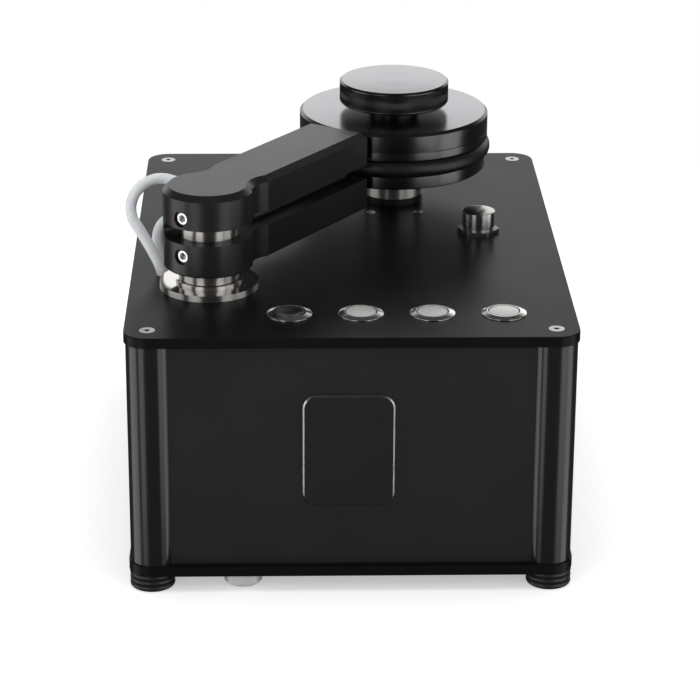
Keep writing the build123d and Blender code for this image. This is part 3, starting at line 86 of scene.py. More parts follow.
@dataclass(frozen=True)
class Span:
    """The axis, radius and heights that a CAD node takes up."""

    x: float
    y: float
    radius: float
    bottom: float
    top: float

    @classmethod
    def of(cls, node: str) -> "Span":
        """Measure a node.

        Args:
            node: The CAD node's name.

        Returns:
            Its centre line, its half width in X and its lowest and highest points.
        """
        low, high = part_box(node)
        centre = (low + high) / 2
        return cls(centre.x, centre.y, (high.x - low.x) / 2, low.z, high.z)


def rounded_outline(corners: list[Corner], steps: int) -> np.ndarray:
    """Turn corners into outline points, each corner replaced by an arc tangent to its sides.

    The arc of a corner starts and ends at rounding / tan(half the corner's angle) from it.

    Args:
        corners: The outline's corners, first to last.
        steps: Points along each arc.

    Returns:
        An array of (radius, height) rows.
    """
    points = np.array([(corner.radius, corner.height) for corner in corners])
    rows = [points[:1]]
    for index in range(1, len(corners) - 1):
        before = points[index - 1] - points[index]
        after = points[index + 1] - points[index]
        before = before / np.linalg.norm(before)
        after = after / np.linalg.norm(after)
        size = corners[index].rounding
        cosine = float(np.clip(before @ after, -1.0, 1.0))
        if size <= 0.0 or cosine < STRAIGHT:
            rows.append(points[index : index + 1])
            continue
        half = math.acos(cosine) / 2
        middle = (before + after) / np.linalg.norm(before + after)
        centre = points[index] + middle * size / math.sin(half)
        first = points[index] + before * size / math.tan(half) - centre
        last = points[index] + after * size / math.tan(half) - centre
        sweep = math.pi - 2 * half
        share = np.linspace(0.0, 1.0, steps)[:, None]
        arc = np.sin((1 - share) * sweep) * first + np.sin(share * sweep) * last
        rows.append(centre + arc / math.sin(sweep))
    rows.append(points[-1:])
    return np.concatenate(rows)


def grid_mesh(name: str, points: np.ndarray, wrap_u: bool, wrap_v: bool) -> Mesh:
    """Make a mesh of quads over a grid of points.

    Args:
        name: The mesh's name.
        points: Array of shape (rows, columns, 3).
        wrap_u: True if the last row joins the first.
        wrap_v: True if the last column joins the first.

    Returns:
        The mesh, with doubled points not yet merged.
    """
    rows, columns = points.shape[:2]
    index = np.arange(rows * columns).reshape(rows, columns)
    if wrap_u:
        index = np.concatenate([index, index[:1]], axis=0)
    if wrap_v:
        index = np.concatenate([index, index[:, :1]], axis=1)
    quads = np.stack([index[:-1, :-1], index[:-1, 1:], index[1:, 1:], index[1:, :-1]], axis=-1)
    mesh = bpy.data.meshes.new(name)
    mesh.from_pydata(points.reshape(-1, 3).tolist(), [], quads.reshape(-1, 4).tolist())
    return mesh


def tidy_mesh(mesh: Mesh, smooth_angle: float) -> None:
    """Merge doubled points, close open rims, point faces outwards and set smooth shading.

    Args:
        mesh: The mesh to tidy.
        smooth_angle: Edges that turn by more degrees than this stay sharp.
    """
    work = bmesh.new()
    work.from_mesh(mesh)
    bmesh.ops.remove_doubles(work, verts=work.verts, dist=1e-7)
    rims = [edge for edge in work.edges if edge.is_boundary]
    if rims:
        bmesh.ops.holes_fill(work, edges=rims, sides=0)
    bmesh.ops.recalc_face_normals(work, faces=work.faces)
    work.to_mesh(mesh)
    work.free()
    mesh.polygons.foreach_set("use_smooth", np.ones(len(mesh.polygons), bool))
    mesh.set_sharp_from_angle(angle=math.radians(smooth_angle))


def face_values(mesh: Mesh, what: str) -> np.ndarray:
    """Read a vector of every face.

    Args:
        mesh: The mesh.
        what: "normal" or "center".

    Returns:
        An array with a row of three numbers for each face.
    """
    values = np.zeros(len(mesh.polygons) * 3)
    mesh.polygons.foreach_get(what, values)
    return values.reshape(-1, 3)


def linked(name: str, data: bpy.types.ID) -> bpy.types.Object:
    """A new object in the scene that holds the data."""
    holder = bpy.data.objects.new(name, data)
    bpy.context.scene.collection.objects.link(holder)
    return holder


def add_piece(mesh: Mesh, body: str, materials: list[Material]) -> bpy.types.Object:
    """Put a mesh in the scene as a piece that rides on a body.

    Args:
        mesh: The piece's mesh, already in place.
        body: The CAD body that it moves with.
        materials: Its materials, first slot first.

    Returns:
        The new object.
    """
    piece = linked(mesh.name, mesh)
    for material in materials:
        mesh.materials.append(material)
    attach(piece, body)
    LOG.info("piece %s on %s", piece.name, body)
    return piece


def revolved_mesh(
    name: str, reach: np.ndarray, heights: np.ndarray, axis: Span, smooth_angle: float
) -> Mesh:
    """Carry an outline round an upright axis: x = r cos a, y = r sin a, z = height.

    Args:
        name: The mesh's name.
        reach: Radii of shape (steps round the axis, points of the outline).
        heights: Height of each point of the outline.
        axis: The span whose centre line is the axis.
        smooth_angle: Edges that turn by more degrees than this stay sharp.

    Returns:
        A closed mesh.
    """
    angle = np.linspace(0.0, FULL_TURN, len(reach), endpoint=False)[:, None]
    x = axis.x + reach * np.cos(angle)
    y = axis.y + reach * np.sin(angle)
    points = np.stack([x, y, np.broadcast_to(heights, reach.shape)], axis=-1)
    mesh = grid_mesh(name, points, wrap_u=True, wrap_v=False)
    tidy_mesh(mesh, smooth_angle)
    return mesh


# ---------------------------------------------------------------- node trees and finishes
class Wiring:
    """A node tree being put together."""

    def __init__(self, owner: Material | bpy.types.World, output: str) -> None:
        """Empty the owner's node tree but for an output node.

        Args:
            owner: The material or world.
            output: The output node's type.
        """
        owner.use_nodes = True
        self.tree = owner.node_tree
        self.tree.nodes.clear()
        self.output = self.tree.nodes.new(output)

    def add(self, kind: str, inputs: dict | None = None, **settings: object) -> Node:
        """Add a node.

        Args:
            kind: The node's type.
            inputs: Values or output sockets for its inputs, by name or number.
            **settings: The node's own properties.

        Returns:
            The node.
        """
        node = self.tree.nodes.new(kind)
        for key, value in settings.items():
            setattr(node, key, value)
        for key, value in (inputs or {}).items():
            if isinstance(value, Socket):
                self.tree.links.new(value, node.inputs[key])
            else:
                node.inputs[key].default_value = value
        return node

    def combine(self, operation: str, first: Socket, second: Socket | float) -> Socket:
        """The result of an arithmetic operation on two values."""
        return self.add("ShaderNodeMath", {0: first, 1: second}, operation=operation).outputs[0]

    def choose(self, test: Socket, no: Node, yes: Node) -> Node:
        """A shader that is one of two, by a test that is 0 or 1."""
        return self.add("ShaderNodeMixShader", {0: test, 1: no.outputs[0], 2: yes.outputs[0]})

    def end(self, shader: Node) -> None:
        """Join the last shader to the output."""
        self.tree.links.new(shader.outputs[0], self.output.inputs[0])


class Recipe(Wiring):
    """A node material being put together."""

    def __init__(self, name: str) -> None:
        """Start an empty material.

        Args:
            name: The material's name.
        """
        self.material = bpy.data.materials.new(name)
        super().__init__(self.material, "ShaderNodeOutputMaterial")

    def vector(self, operation: str, first: object, second: object) -> Socket:
        """The result of a vector operation on two vectors or sockets."""
        node = self.add("ShaderNodeVectorMath", {0: first, 1: second}, operation=operation)
        return node.outputs[0]

    def place(self, centre: Place = (0.0, 0.0, 0.0), stretch: Place = (1.0, 1.0, 1.0)) -> Socket:
        """Object coordinates moved to a centre and stretched.

        Args:
            centre: The point that becomes the origin.
            stretch: Scale along each axis.

        Returns:
            The vector socket.
        """
        source = self.add("ShaderNodeTexCoord")
        moved = self.vector("SUBTRACT", source.outputs["Object"], centre)
        return self.vector("MULTIPLY", moved, stretch)

    def noise(self, where: Socket, scale: float, detail: float = 3.0) -> Socket:
        """Noise from 0 to 1, in cycles per metre."""
        node = self.add("ShaderNodeTexNoise", {"Vector": where, "Scale": scale, "Detail": detail})
        return node.outputs["Fac"]

    def spread(self, value: Socket, low: float, high: float) -> Socket:
        """Map the middle of a noise, 0.3 to 0.7, to a range."""
        node = self.add("ShaderNodeMapRange", {0: value, 1: 0.3, 2: 0.7, 3: low, 4: high})
        return node.outputs[0]

    def shades(self, value: Socket, colour: Colour, low: float, high: float) -> Socket:
        """A colour times low to high, by a value from 0 to 1."""
        ends = {6: (*tinted(colour, low), 1.0), 7: (*tinted(colour, high), 1.0)}
        return self.add("ShaderNodeMix", {0: value, **ends}, data_type="RGBA").outputs[2]

    def bump(self, height: Socket, distance: float) -> Socket:
        """A bump of a real height in metres."""
        node = self.add("ShaderNodeBump", {"Height": height, "Distance": distance, "Strength": 1.0})
        return node.outputs["Normal"]

    def finish(self, inputs: dict) -> Material:
        """Close the material with a Principled shader.

        Args:
            inputs: Values or sockets for the shader, by socket name.

        Returns:
            The finished material.
        """
        self.end(self.add("ShaderNodeBsdfPrincipled", inputs))
        return self.material


def tinted(colour: Colour, factor: float) -> Colour:
    """A colour made lighter or darker."""
    return tuple(min(1.0, channel * factor) for channel in colour)


@dataclass(frozen=True)
class Coating:
    """A matte coat with a fine grain and slightly uneven colour and gloss.

    Attributes:
        name: The material's name.
        colour: Its colour.
        roughness: Its mean roughness.
        grain: Size of the grain in metres.
        relief: Height of the grain in metres.
        ior: Index that sets how much it reflects.
        uneven: How far the colour and the roughness wander, as a share.
        clouds: How many times per metre they wander.
    """

    name: str
    colour: Colour
    roughness: float
    grain: float
    relief: float
    ior: float = 1.5
    uneven: float = 0.12
    clouds: float = 28.0

    def build(self) -> Material:
        """Make the material."""
        recipe = Recipe(self.name)
        where = recipe.place()
        cloud = recipe.noise(where, self.clouds)
        grain = recipe.noise(where, 1.0 / self.grain)
        wander = self.uneven / 2
        gloss = recipe.spread(cloud, self.roughness * (1 - wander), self.roughness * (1 + wander))
        return recipe.finish({
            "Base Color": recipe.shades(cloud, self.colour, 1.0 - self.uneven, 1.0 + self.uneven),
            "Roughness": gloss,
            "IOR": self.ior,
            "Normal": recipe.bump(grain, self.relief),
        })


@dataclass(frozen=True)
class Turned:
    """Metal turned on a lathe: fine grooves round an axis and a streak of light across them.

    Attributes:
        name: The material's name.
        colour: Its colour.
        roughness: Its mean roughness.
        x: The axis's X.
        y: The axis's Y.
        metallic: 1 for bare metal, 0 for a dyed surface.
        ior: Index that sets how much a dyed surface reflects.
        anisotropy: How far the highlight is drawn out across the grooves.
        pitch: Distance between grooves in metres.
        relief: Depth of the grooves in metres.
        face_roughness: Roughness of the faces that point up, or None for the same as the sides.
        wander: Least and greatest roughness, as shares of the mean.
    """

    name: str
    colour: Colour
    roughness: float
    x: float
    y: float
    metallic: float = 1.0
    ior: float = 1.5
    anisotropy: float = 0.6
    pitch: float = 0.0005
    relief: float = 0.000003
    face_roughness: float | None = None
    wander: tuple[float, float] = (0.9, 1.12)

    def upward(self, recipe: Recipe) -> Socket:
        """1 on the faces that point up, 0 on the sides, by the upright part of the normal."""
        geometry = recipe.add("ShaderNodeNewGeometry")
        normal = recipe.add("ShaderNodeSeparateXYZ", {0: geometry.outputs["Normal"]})
        side, top = 0.8, 0.95
        return recipe.add("ShaderNodeMapRange", {0: normal.outputs[2], 1: side, 2: top}).outputs[0]

    def gloss(self, recipe: Recipe, tone: Socket) -> Socket:
        """Roughness that wanders with the tone and is lower on the faces that point up."""
        low, high = self.wander
        sides = recipe.spread(tone, self.roughness * low, self.roughness * high)
        if self.face_roughness is None:
            return sides
        faces = recipe.spread(tone, self.face_roughness * low, self.face_roughness * high)
        return recipe.add("ShaderNodeMix", {0: self.upward(recipe), 2: sides, 3: faces}).outputs[0]

    def build(self) -> Material:
        """Make the material."""
        recipe = Recipe(self.name)
        where = recipe.place((self.x, self.y, 0.0))
        flat = recipe.vector("MULTIPLY", where, (1.0, 1.0, 0.0))
        round_it = recipe.vector("CROSS_PRODUCT", (0.0, 0.0, 1.0), flat)
        turned = recipe.add(
            "ShaderNodeVectorTransform", {0: round_it}, vector_type="VECTOR",
            convert_from="OBJECT", convert_to="WORLD",
        )
        reach = recipe.add("ShaderNodeVectorMath", {0: flat}, operation="LENGTH")
        split = recipe.add("ShaderNodeSeparateXYZ", {0: where})
        ring = recipe.add("ShaderNodeCombineXYZ", {0: reach.outputs["Value"], 2: split.outputs[2]})
        grooves = recipe.noise(ring.outputs[0], 1.0 / self.pitch, detail=2.0)
        tone = recipe.noise(ring.outputs[0], 0.25 / self.pitch, detail=2.0)
        return recipe.finish({
            "Base Color": recipe.shades(tone, self.colour, 0.95, 1.04),
            "Metallic": self.metallic,
            "Roughness": self.gloss(recipe, tone),
            "IOR": self.ior,
            "Anisotropic": self.anisotropy,
            "Anisotropic Rotation": 0.25,
            "Tangent": turned.outputs[0],
            "Normal": recipe.bump(grooves, self.relief),
        })


@dataclass(frozen=True)
class Polished:
    """Bright polished metal with faint wipe marks.

    Attributes:
        name: The material's name.
        colour: Its colour.
        roughness: Its roughness where it is clean.
    """

    name: str
    colour: Colour
    roughness: float = 0.06

    def build(self) -> Material:
        """Make the material."""
        recipe = Recipe(self.name)
        where = recipe.place(stretch=(1.0, 3.0, 1.0))
        wipes = recipe.noise(where, scale=120.0, detail=4.0)
        return recipe.finish({
            "Base Color": recipe.shades(wipes, self.colour, 0.96, 1.03),
            "Metallic": 1.0,
            "Roughness": recipe.spread(wipes, self.roughness, self.roughness * 1.8),
        })


@dataclass(frozen=True)
class Brushed:
    """Metal brushed in one direction.

    Attributes:
        name: The material's name.
        colour: Its colour.
        roughness: Its mean roughness.
        along: Scale of the pattern along each axis; small along the strokes.
        anisotropy: How far the highlight is drawn out across the strokes.
    """

    name: str
    colour: Colour
    roughness: float
    along: Colour = (0.02, 1.0, 1.0)
    anisotropy: float = 0.4

    def build(self) -> Material:
        """Make the material."""
        recipe = Recipe(self.name)
        strokes = recipe.noise(recipe.place(stretch=self.along), scale=9000.0)
        return recipe.finish({
            "Base Color": recipe.shades(strokes, self.colour, 0.9, 1.06),
            "Metallic": 1.0,
            "Roughness": recipe.spread(strokes, self.roughness * 0.85, self.roughness * 1.2),
            "Anisotropic": self.anisotropy,
            "Normal": recipe.bump(strokes, distance=0.000004),
        })


@dataclass(frozen=True)
class Pile:
    """Short velvet pile.

    Attributes:
        name: The material's name.
        colour: Its colour.
    """

    name: str
    colour: Colour

    def build(self) -> Material:
        """Make the material."""
        recipe = Recipe(self.name)
        tufts = recipe.noise(recipe.place(), scale=2600.0)
        return recipe.finish({
            "Base Color": recipe.shades(tufts, self.colour, 0.6, 1.4),
            "Roughness": 0.95,
            "Sheen Weight": 0.4,
            "Sheen Roughness": 0.4,
            "Normal": recipe.bump(tufts, distance=0.0002),
        })


@dataclass(frozen=True)
class ClearHose:
    """Milky soft tube that lets light through.

    Attributes:
        name: The material's name.
        colour: Its colour.
    """

    name: str
    colour: Colour

    def build(self) -> Material:
        """Make the material."""
        recipe = Recipe(self.name)
        haze = recipe.noise(recipe.place(), scale=160.0)
        ripple = recipe.noise(recipe.place(), scale=500.0, detail=2.0)
        return recipe.finish({
            "Base Color": recipe.shades(haze, self.colour, 0.95, 1.03),
            "Roughness": recipe.spread(haze, low=0.18, high=0.28),
            "IOR": 1.42,
            "Transmission Weight": 0.12,
            "Subsurface Weight": 0.6,
            "Subsurface Scale": 0.002,
            "Normal": recipe.bump(ripple, distance=0.00004),
        })


class Finishes:
    """Every finish of the machine, built once."""

    def __init__(self) -> None:
        """Build the materials from their settings."""
        platter = Span.of("platter_disc")
        filler = Span.of("filler_cap")
        post = Span.of("arm_post")
        self.coat = Coating(
            "black_coat", (0.006, 0.006, 0.0065),
            roughness=0.3, grain=0.00035, relief=0.000008, ior=1.19,
        ).build()
        self.panel = Coating(
            "panel_coat", (0.017, 0.017, 0.0175),
            roughness=0.42, grain=0.00035, relief=0.000008, ior=1.34,
        ).build()
        self.post = Coating(
            "post_anodised", (0.009, 0.009, 0.0093),
            roughness=0.22, grain=0.0003, relief=0.000004, ior=1.6,
        ).build()
        self.arm = Coating(
            "arm_anodised", (0.011, 0.011, 0.0115),
            roughness=0.32, grain=0.00028, relief=0.000005, ior=1.5,
        ).build()
        self.plastic = Coating(
            "foot_plastic", (0.012, 0.012, 0.012), roughness=0.4, grain=0.0004, relief=0.00001
        ).build()
        self.rubber = Coating(
            "seal_rubber", (0.006, 0.006, 0.006), roughness=0.42, grain=0.0003, relief=0.00001
        ).build()
        self.badge = Coating(
            "badge_face", (0.015, 0.015, 0.015),
            roughness=0.34, grain=0.0002, relief=0.000004, ior=1.45,
        ).build()
        self.disc = Turned(
            "disc_anodised", (0.105, 0.105, 0.107), roughness=0.29, x=platter.x, y=platter.y,
            anisotropy=0.7, relief=0.0000015,
        ).build()
        # Brighter copy of the disc metal for the faces that point up: a painted reflection of the
        # backdrop on the tops.
        self.face = Turned(
            "disc_top_painted_reflection", (0.37, 0.375, 0.385), roughness=0.22, x=platter.x, y=platter.y,
            anisotropy=0.2, relief=0.0000006,
        ).build()
        self.knurl = Turned(
            "knurl_anodised", (0.006, 0.006, 0.0063), roughness=0.24, x=platter.x, y=platter.y,
            metallic=0.0, ior=1.55, anisotropy=0.0, relief=0.000001,
        ).build()
        self.hub = Turned(
            "hub_steel", (0.68, 0.67, 0.64), roughness=0.38, x=platter.x, y=platter.y,
            anisotropy=0.8, pitch=0.0008,
        ).build()
        self.steel = Brushed("button_steel", (0.94, 0.93, 0.9), 0.2).build()
        self.cap_face = Coating(
            "button_face", (0.45, 0.445, 0.435),
            roughness=0.26, grain=0.0004, relief=0.000003, ior=2.8,
        ).build()
        self.power = Brushed("power_steel", (0.34, 0.33, 0.32), 0.34).build()
        self.chrome = Polished("polished_steel", (0.78, 0.77, 0.75)).build()
        self.stem = Turned(
            "arm_post_steel", (0.72, 0.7, 0.67), roughness=0.36, x=post.x, y=post.y,
            anisotropy=1.0, relief=0.000001, face_roughness=0.06,
        ).build()
        self.cap = Turned(
            "cap_steel", (0.52, 0.515, 0.5), roughness=0.26, x=filler.x, y=filler.y,
            anisotropy=0.9, relief=0.000002, face_roughness=0.14,
        ).build()
        self.screw = Polished("screw_steel", (0.5, 0.5, 0.5), 0.16).build()
        self.socket = Polished("socket_steel", (0.82, 0.81, 0.8), 0.2).build()
        self.drain = Coating(
            "drain_nickel", (0.55, 0.55, 0.55),
            roughness=0.3, grain=0.0004, relief=0.000004, ior=1.8,
        ).build()
        self.rim = Polished("badge_rim", (0.5, 0.5, 0.5), 0.2).build()
        self.bronze = Polished("bush_bronze", (0.55, 0.36, 0.17), 0.25).build()
        self.velvet = Pile("wiper_velvet", (0.012, 0.012, 0.013)).build()
        self.hose = ClearHose("hose_clear", (0.8, 0.84, 0.86)).build()
        self.inner_steel = Brushed("inner_steel", (0.5, 0.5, 0.5), 0.4).build()
        self.inner_plastic = Coating(
            "tank_plastic", (0.62, 0.62, 0.6), roughness=0.4, grain=0.0006, relief=0.00001
        ).build()
        self.board = Coating(
            "board_green", (0.01, 0.12, 0.04), roughness=0.35, grain=0.0005, relief=0.00001
        ).build()


class Tone(Enum):
    """Which of the finishes, by name, a CAD node that keeps its own shape gets."""

    COAT = "coat"
    PANEL = "panel"
    POST = "post"
    ARM = "arm"
    PLASTIC = "plastic"
    RUBBER = "rubber"
    HUB = "hub"
    POWER = "power"
    CHROME = "chrome"
    STEM = "stem"
    SCREW = "screw"
    SET_SCREW = "socket"
    DRAIN = "drain"
    BRONZE = "bronze"
    VELVET = "velvet"
    INNER_STEEL = "inner_steel"
    INNER_PLASTIC = "inner_plastic"
    BOARD = "board"


NODE_TONES = {
    Tone.COAT: ("top_plate", "base_plate"),
    Tone.PANEL: ("front_panel", "rear_panel", "left_panel", "right_panel"),
    Tone.POST: ("post_front_left", "post_front_right", "post_rear_left", "post_rear_right"),
    Tone.ARM: ("lower_arm", "upper_arm", "bearing_housing"),
    Tone.PLASTIC: (
        "foot_front_left", "foot_front_right", "foot_rear_left", "foot_rear_right", "mains_inlet",
    ),
    Tone.RUBBER: ("hose_gland", "lower_seal", "upper_seal"),
    Tone.HUB: ("platter_hub",),
    Tone.POWER: ("filler_neck",),
    Tone.CHROME: ("hose_barbs",),
    Tone.DRAIN: ("drain_plug",),
    Tone.STEM: ("arm_base",),
    Tone.SCREW: ("deck_screws", "small_screws"),
    Tone.SET_SCREW: ("arm_set_screws",),
    Tone.BRONZE: ("bearing_bushes", "arm_bush", "motor_pinion"),
    Tone.VELVET: ("wiper_strips",),
    Tone.INNER_STEEL: ("platter_shaft", "platter_gear", "drive_motor", "drive_bracket", "power_supply"),
    Tone.INNER_PLASTIC: ("waste_tank", "fluid_tank", "fluid_pump", "vacuum_housing", "vacuum_impeller"),
    Tone.BOARD: ("control_board",),
}


def dress_nodes(finishes: Finishes) -> None:
    """Give each CAD node that keeps its own shape its finish.

    Args:
        finishes: The built materials.
    """
    for tone, names in NODE_TONES.items():
        material = getattr(finishes, tone.value)
        for name in names:
            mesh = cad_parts[name].data
            mesh.materials.clear()
            mesh.materials.append(material)
            LOG.info("node %s in %s", name, material.name)


# ---------------------------------------------------------------- turned pieces
def upward_faces(mesh: Mesh) -> np.ndarray:
    """Find which faces of a mesh point straight up.

    Args:
        mesh: The mesh.

    Returns:
        One boolean for each face.
    """
    return face_values(mesh, "normal")[:, 2] > FLAT


@dataclass(frozen=True)
class Turning:
    """A turned piece that stands for a CAD node.

    Attributes:
        node: The CAD node that it replaces.
        body: The body that it moves with.
        slot: The record's material slot; not used.
        corners: Its outline, from the axis or a bore round to where it started.
        material: Its finish.
        sides: Steps round the axis.
        arc_steps: Points on each rounded corner.
        face: Finish of the flat faces that point up, a brighter copy that paints a reflection on them,
            or None for the same.
    """

    node: str
    body: str
    slot: str
    corners: list[Corner]
    material: Material
    sides: int = 128
    arc_steps: int = 6
    face: Material | None = None

    def build(self) -> bpy.types.Object:
        """Turn the outline and put it in place of the node."""
        span = Span.of(self.node)
        outline = rounded_outline(self.corners, self.arc_steps)
        reach = np.broadcast_to(outline[:, 0], (self.sides, len(outline)))
        mesh = revolved_mesh(f"{self.node}_finished", reach, outline[:, 1], span, smooth_angle=40.0)
        piece = add_piece(mesh, self.body, [self.material])
        # Faces that point up take the brighter copy, which paints a reflection on them.
        if self.face is not None:
            mesh.materials.append(self.face)
            mesh.polygons.foreach_set("material_index", upward_faces(mesh).astype(np.int32))
        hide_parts(self.node)
        return piece


@dataclass
class Clamp:
    """The clamp: its disc with a band and a groove, and the knurled knob on a neck.

    Attributes:
        edge: Rounding of the turned edges.
        chamfer: Width of the disc's top chamfer.
        band: Height of the lower band.
        groove: Width and depth of the groove above the band.
        boss_radius: Radius of the centre that stands inside the seal.
        knob_chamfer: Width of the knob's chamfers.
        neck_radius: Radius of the knob's neck.
        neck_height: Height of the neck.
        knurl_count: Ridges round the knob in each direction.
        knurl_depth: Depth of the knurl.
        knurl_inset: Plain height left under and over the knurl.
        samples: Points across one ridge.
        arc_steps: Points on each of the knob's rounded corners.
    """

    finishes: Finishes
    edge: float = 0.25 * MM
    chamfer: float = 1.5 * MM
    band: float = 4.6 * MM
    groove: float = 0.5 * MM
    boss_radius: float = 44.0 * MM
    knob_chamfer: float = 1.0 * MM
    neck_radius: float = 14.0 * MM
    neck_height: float = 4.1 * MM
    knurl_count: int = 112
    knurl_depth: float = 0.55 * MM
    knurl_inset: float = 0.5 * MM
    samples: int = 6
    arc_steps: int = 5

    def disc(self) -> bpy.types.Object:
        """The upper disc."""
        span = Span.of("clamp_disc")
        low = Span.of("upper_seal").top
        radius = span.radius
        waist = low + self.band
        corners = [
            Corner(0.0, span.bottom), Corner(self.boss_radius, span.bottom, self.edge),
            Corner(self.boss_radius, low), Corner(radius - self.groove, low, self.edge),
            Corner(radius, low + self.groove, self.edge), Corner(radius, waist, self.edge / 2),
            Corner(radius - self.groove, waist), Corner(radius - self.groove, waist + self.groove),
            Corner(radius, waist + self.groove, self.edge / 2),
            Corner(radius, span.top - self.chamfer, self.edge),
            Corner(radius - self.chamfer, span.top, self.edge), Corner(0.0, span.top),
        ]
        # Its top faces take the brighter copy, a painted reflection.
        return Turning(
            "clamp_disc", "clamp", "turned_aluminium", corners, self.finishes.disc, DISC_SIDES,
            face=self.finishes.face,
        ).build()

    def knurled(self, outline: np.ndarray, low: float, high: float, radius: float) -> np.ndarray:
        """Cut a diamond knurl into the outline's upright side.

        The side's radius is the knob's radius less the knurl's depth times the square of the
        larger of two triangle waves, each of the angle plus or minus the height.

        Args:
            outline: Rows of (radius, height).
            low: Height where the knurl starts.
            high: Height where it ends.
            radius: The knob's radius.

        Returns:
            Radii of shape (steps round the knob, points of the outline).
        """
        sides = self.knurl_count * self.samples
        angle = np.linspace(0.0, FULL_TURN, sides, endpoint=False)[:, None]
        turns = angle / FULL_TURN * self.knurl_count
        rise = (outline[None, :, 1] - low) / (FULL_TURN * radius / self.knurl_count)
        ridge_one = np.abs((turns + rise) % 1.0 - 0.5) * 2
        ridge_two = np.abs((turns - rise) % 1.0 - 0.5) * 2
        cut = np.maximum(ridge_one, ridge_two) ** 2 * self.knurl_depth
        upright = outline[:, 0] > radius - self.knob_chamfer
        inside = (outline[:, 1] > low) & (outline[:, 1] < high) & upright
        return outline[None, :, 0] - np.where(inside[None, :], cut, 0.0)

    def knob(self) -> bpy.types.Object:
        """The knob, whose side carries a diamond knurl."""
        span = Span.of("clamp_knob")
        low = span.bottom + self.neck_height
        radius = span.radius
        inner = radius - self.knob_chamfer
        lower = rounded_outline(
            [
                Corner(0.0, span.bottom), Corner(self.neck_radius, span.bottom),
                Corner(self.neck_radius, low), Corner(inner, low, self.edge),
                Corner(radius, low + self.knob_chamfer, self.edge),
                Corner(radius, low + self.knob_chamfer + self.knurl_inset),
            ],
            self.arc_steps,
        )
        upper = rounded_outline(
            [
                Corner(radius, span.top - self.knob_chamfer - self.knurl_inset),
                Corner(radius, span.top - self.knob_chamfer, self.edge),
                Corner(inner, span.top, self.edge), Corner(0.0, span.top),
            ],
            self.arc_steps,
        )
        start, stop = lower[-1, 1], upper[0, 1]
        pitch = FULL_TURN * radius / self.knurl_count
        rows = int(round((stop - start) / pitch * self.samples))
        band = np.stack([np.full(rows, radius), np.linspace(start, stop, rows)], axis=1)
        outline = np.concatenate([lower[:-1], band, upper[1:]])
        reach = self.knurled(outline, start, stop, radius)
        mesh = revolved_mesh("clamp_knob_finished", reach, outline[:, 1], span, smooth_angle=35.0)
        piece = add_piece(mesh, "knob", [self.finishes.disc, self.finishes.knurl, self.finishes.face])
        # Faces that point up take the brighter copy, a painted reflection; the knurled band takes the
        # knurl finish.
        heights = face_values(mesh, "center")[:, 2]
        side = (heights > start) & (heights < stop)
        finish = np.where(upward_faces(mesh), 2, side.astype(np.int32))
        mesh.polygons.foreach_set("material_index", finish.astype(np.int32))
        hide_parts("clamp_knob")
        return piece

    def build(self) -> None:
        """Build the clamp."""
        self.disc()
        self.knob()


@dataclass
class Platter:
    """The lower disc under the record.

    Attributes:
        edge: Rounding of its edges.
        lip: Chamfer at its underside.
        boss_radius: Radius of the centre inside the seal.
    """

    finishes: Finishes
    edge: float = 0.25 * MM
    lip: float = 0.6 * MM
    boss_radius: float = 44.0 * MM

    def build(self) -> None:
        """Build the disc."""
        span = Span.of("platter_disc")
        top = Span.of("lower_seal").bottom
        corners = [
            Corner(0.0, span.bottom), Corner(span.radius - self.lip, span.bottom, self.edge),
            Corner(span.radius, span.bottom + self.lip, self.edge), Corner(span.radius, top, self.edge),
            Corner(self.boss_radius, top), Corner(self.boss_radius, span.top, self.edge),
            Corner(0.0, span.top),
        ]
        # Its top faces take the brighter copy, a painted reflection.
        Turning(
            "platter_disc", "platter", "turned_aluminium", corners, self.finishes.disc, DISC_SIDES,
            face=self.finishes.face,
        ).build()


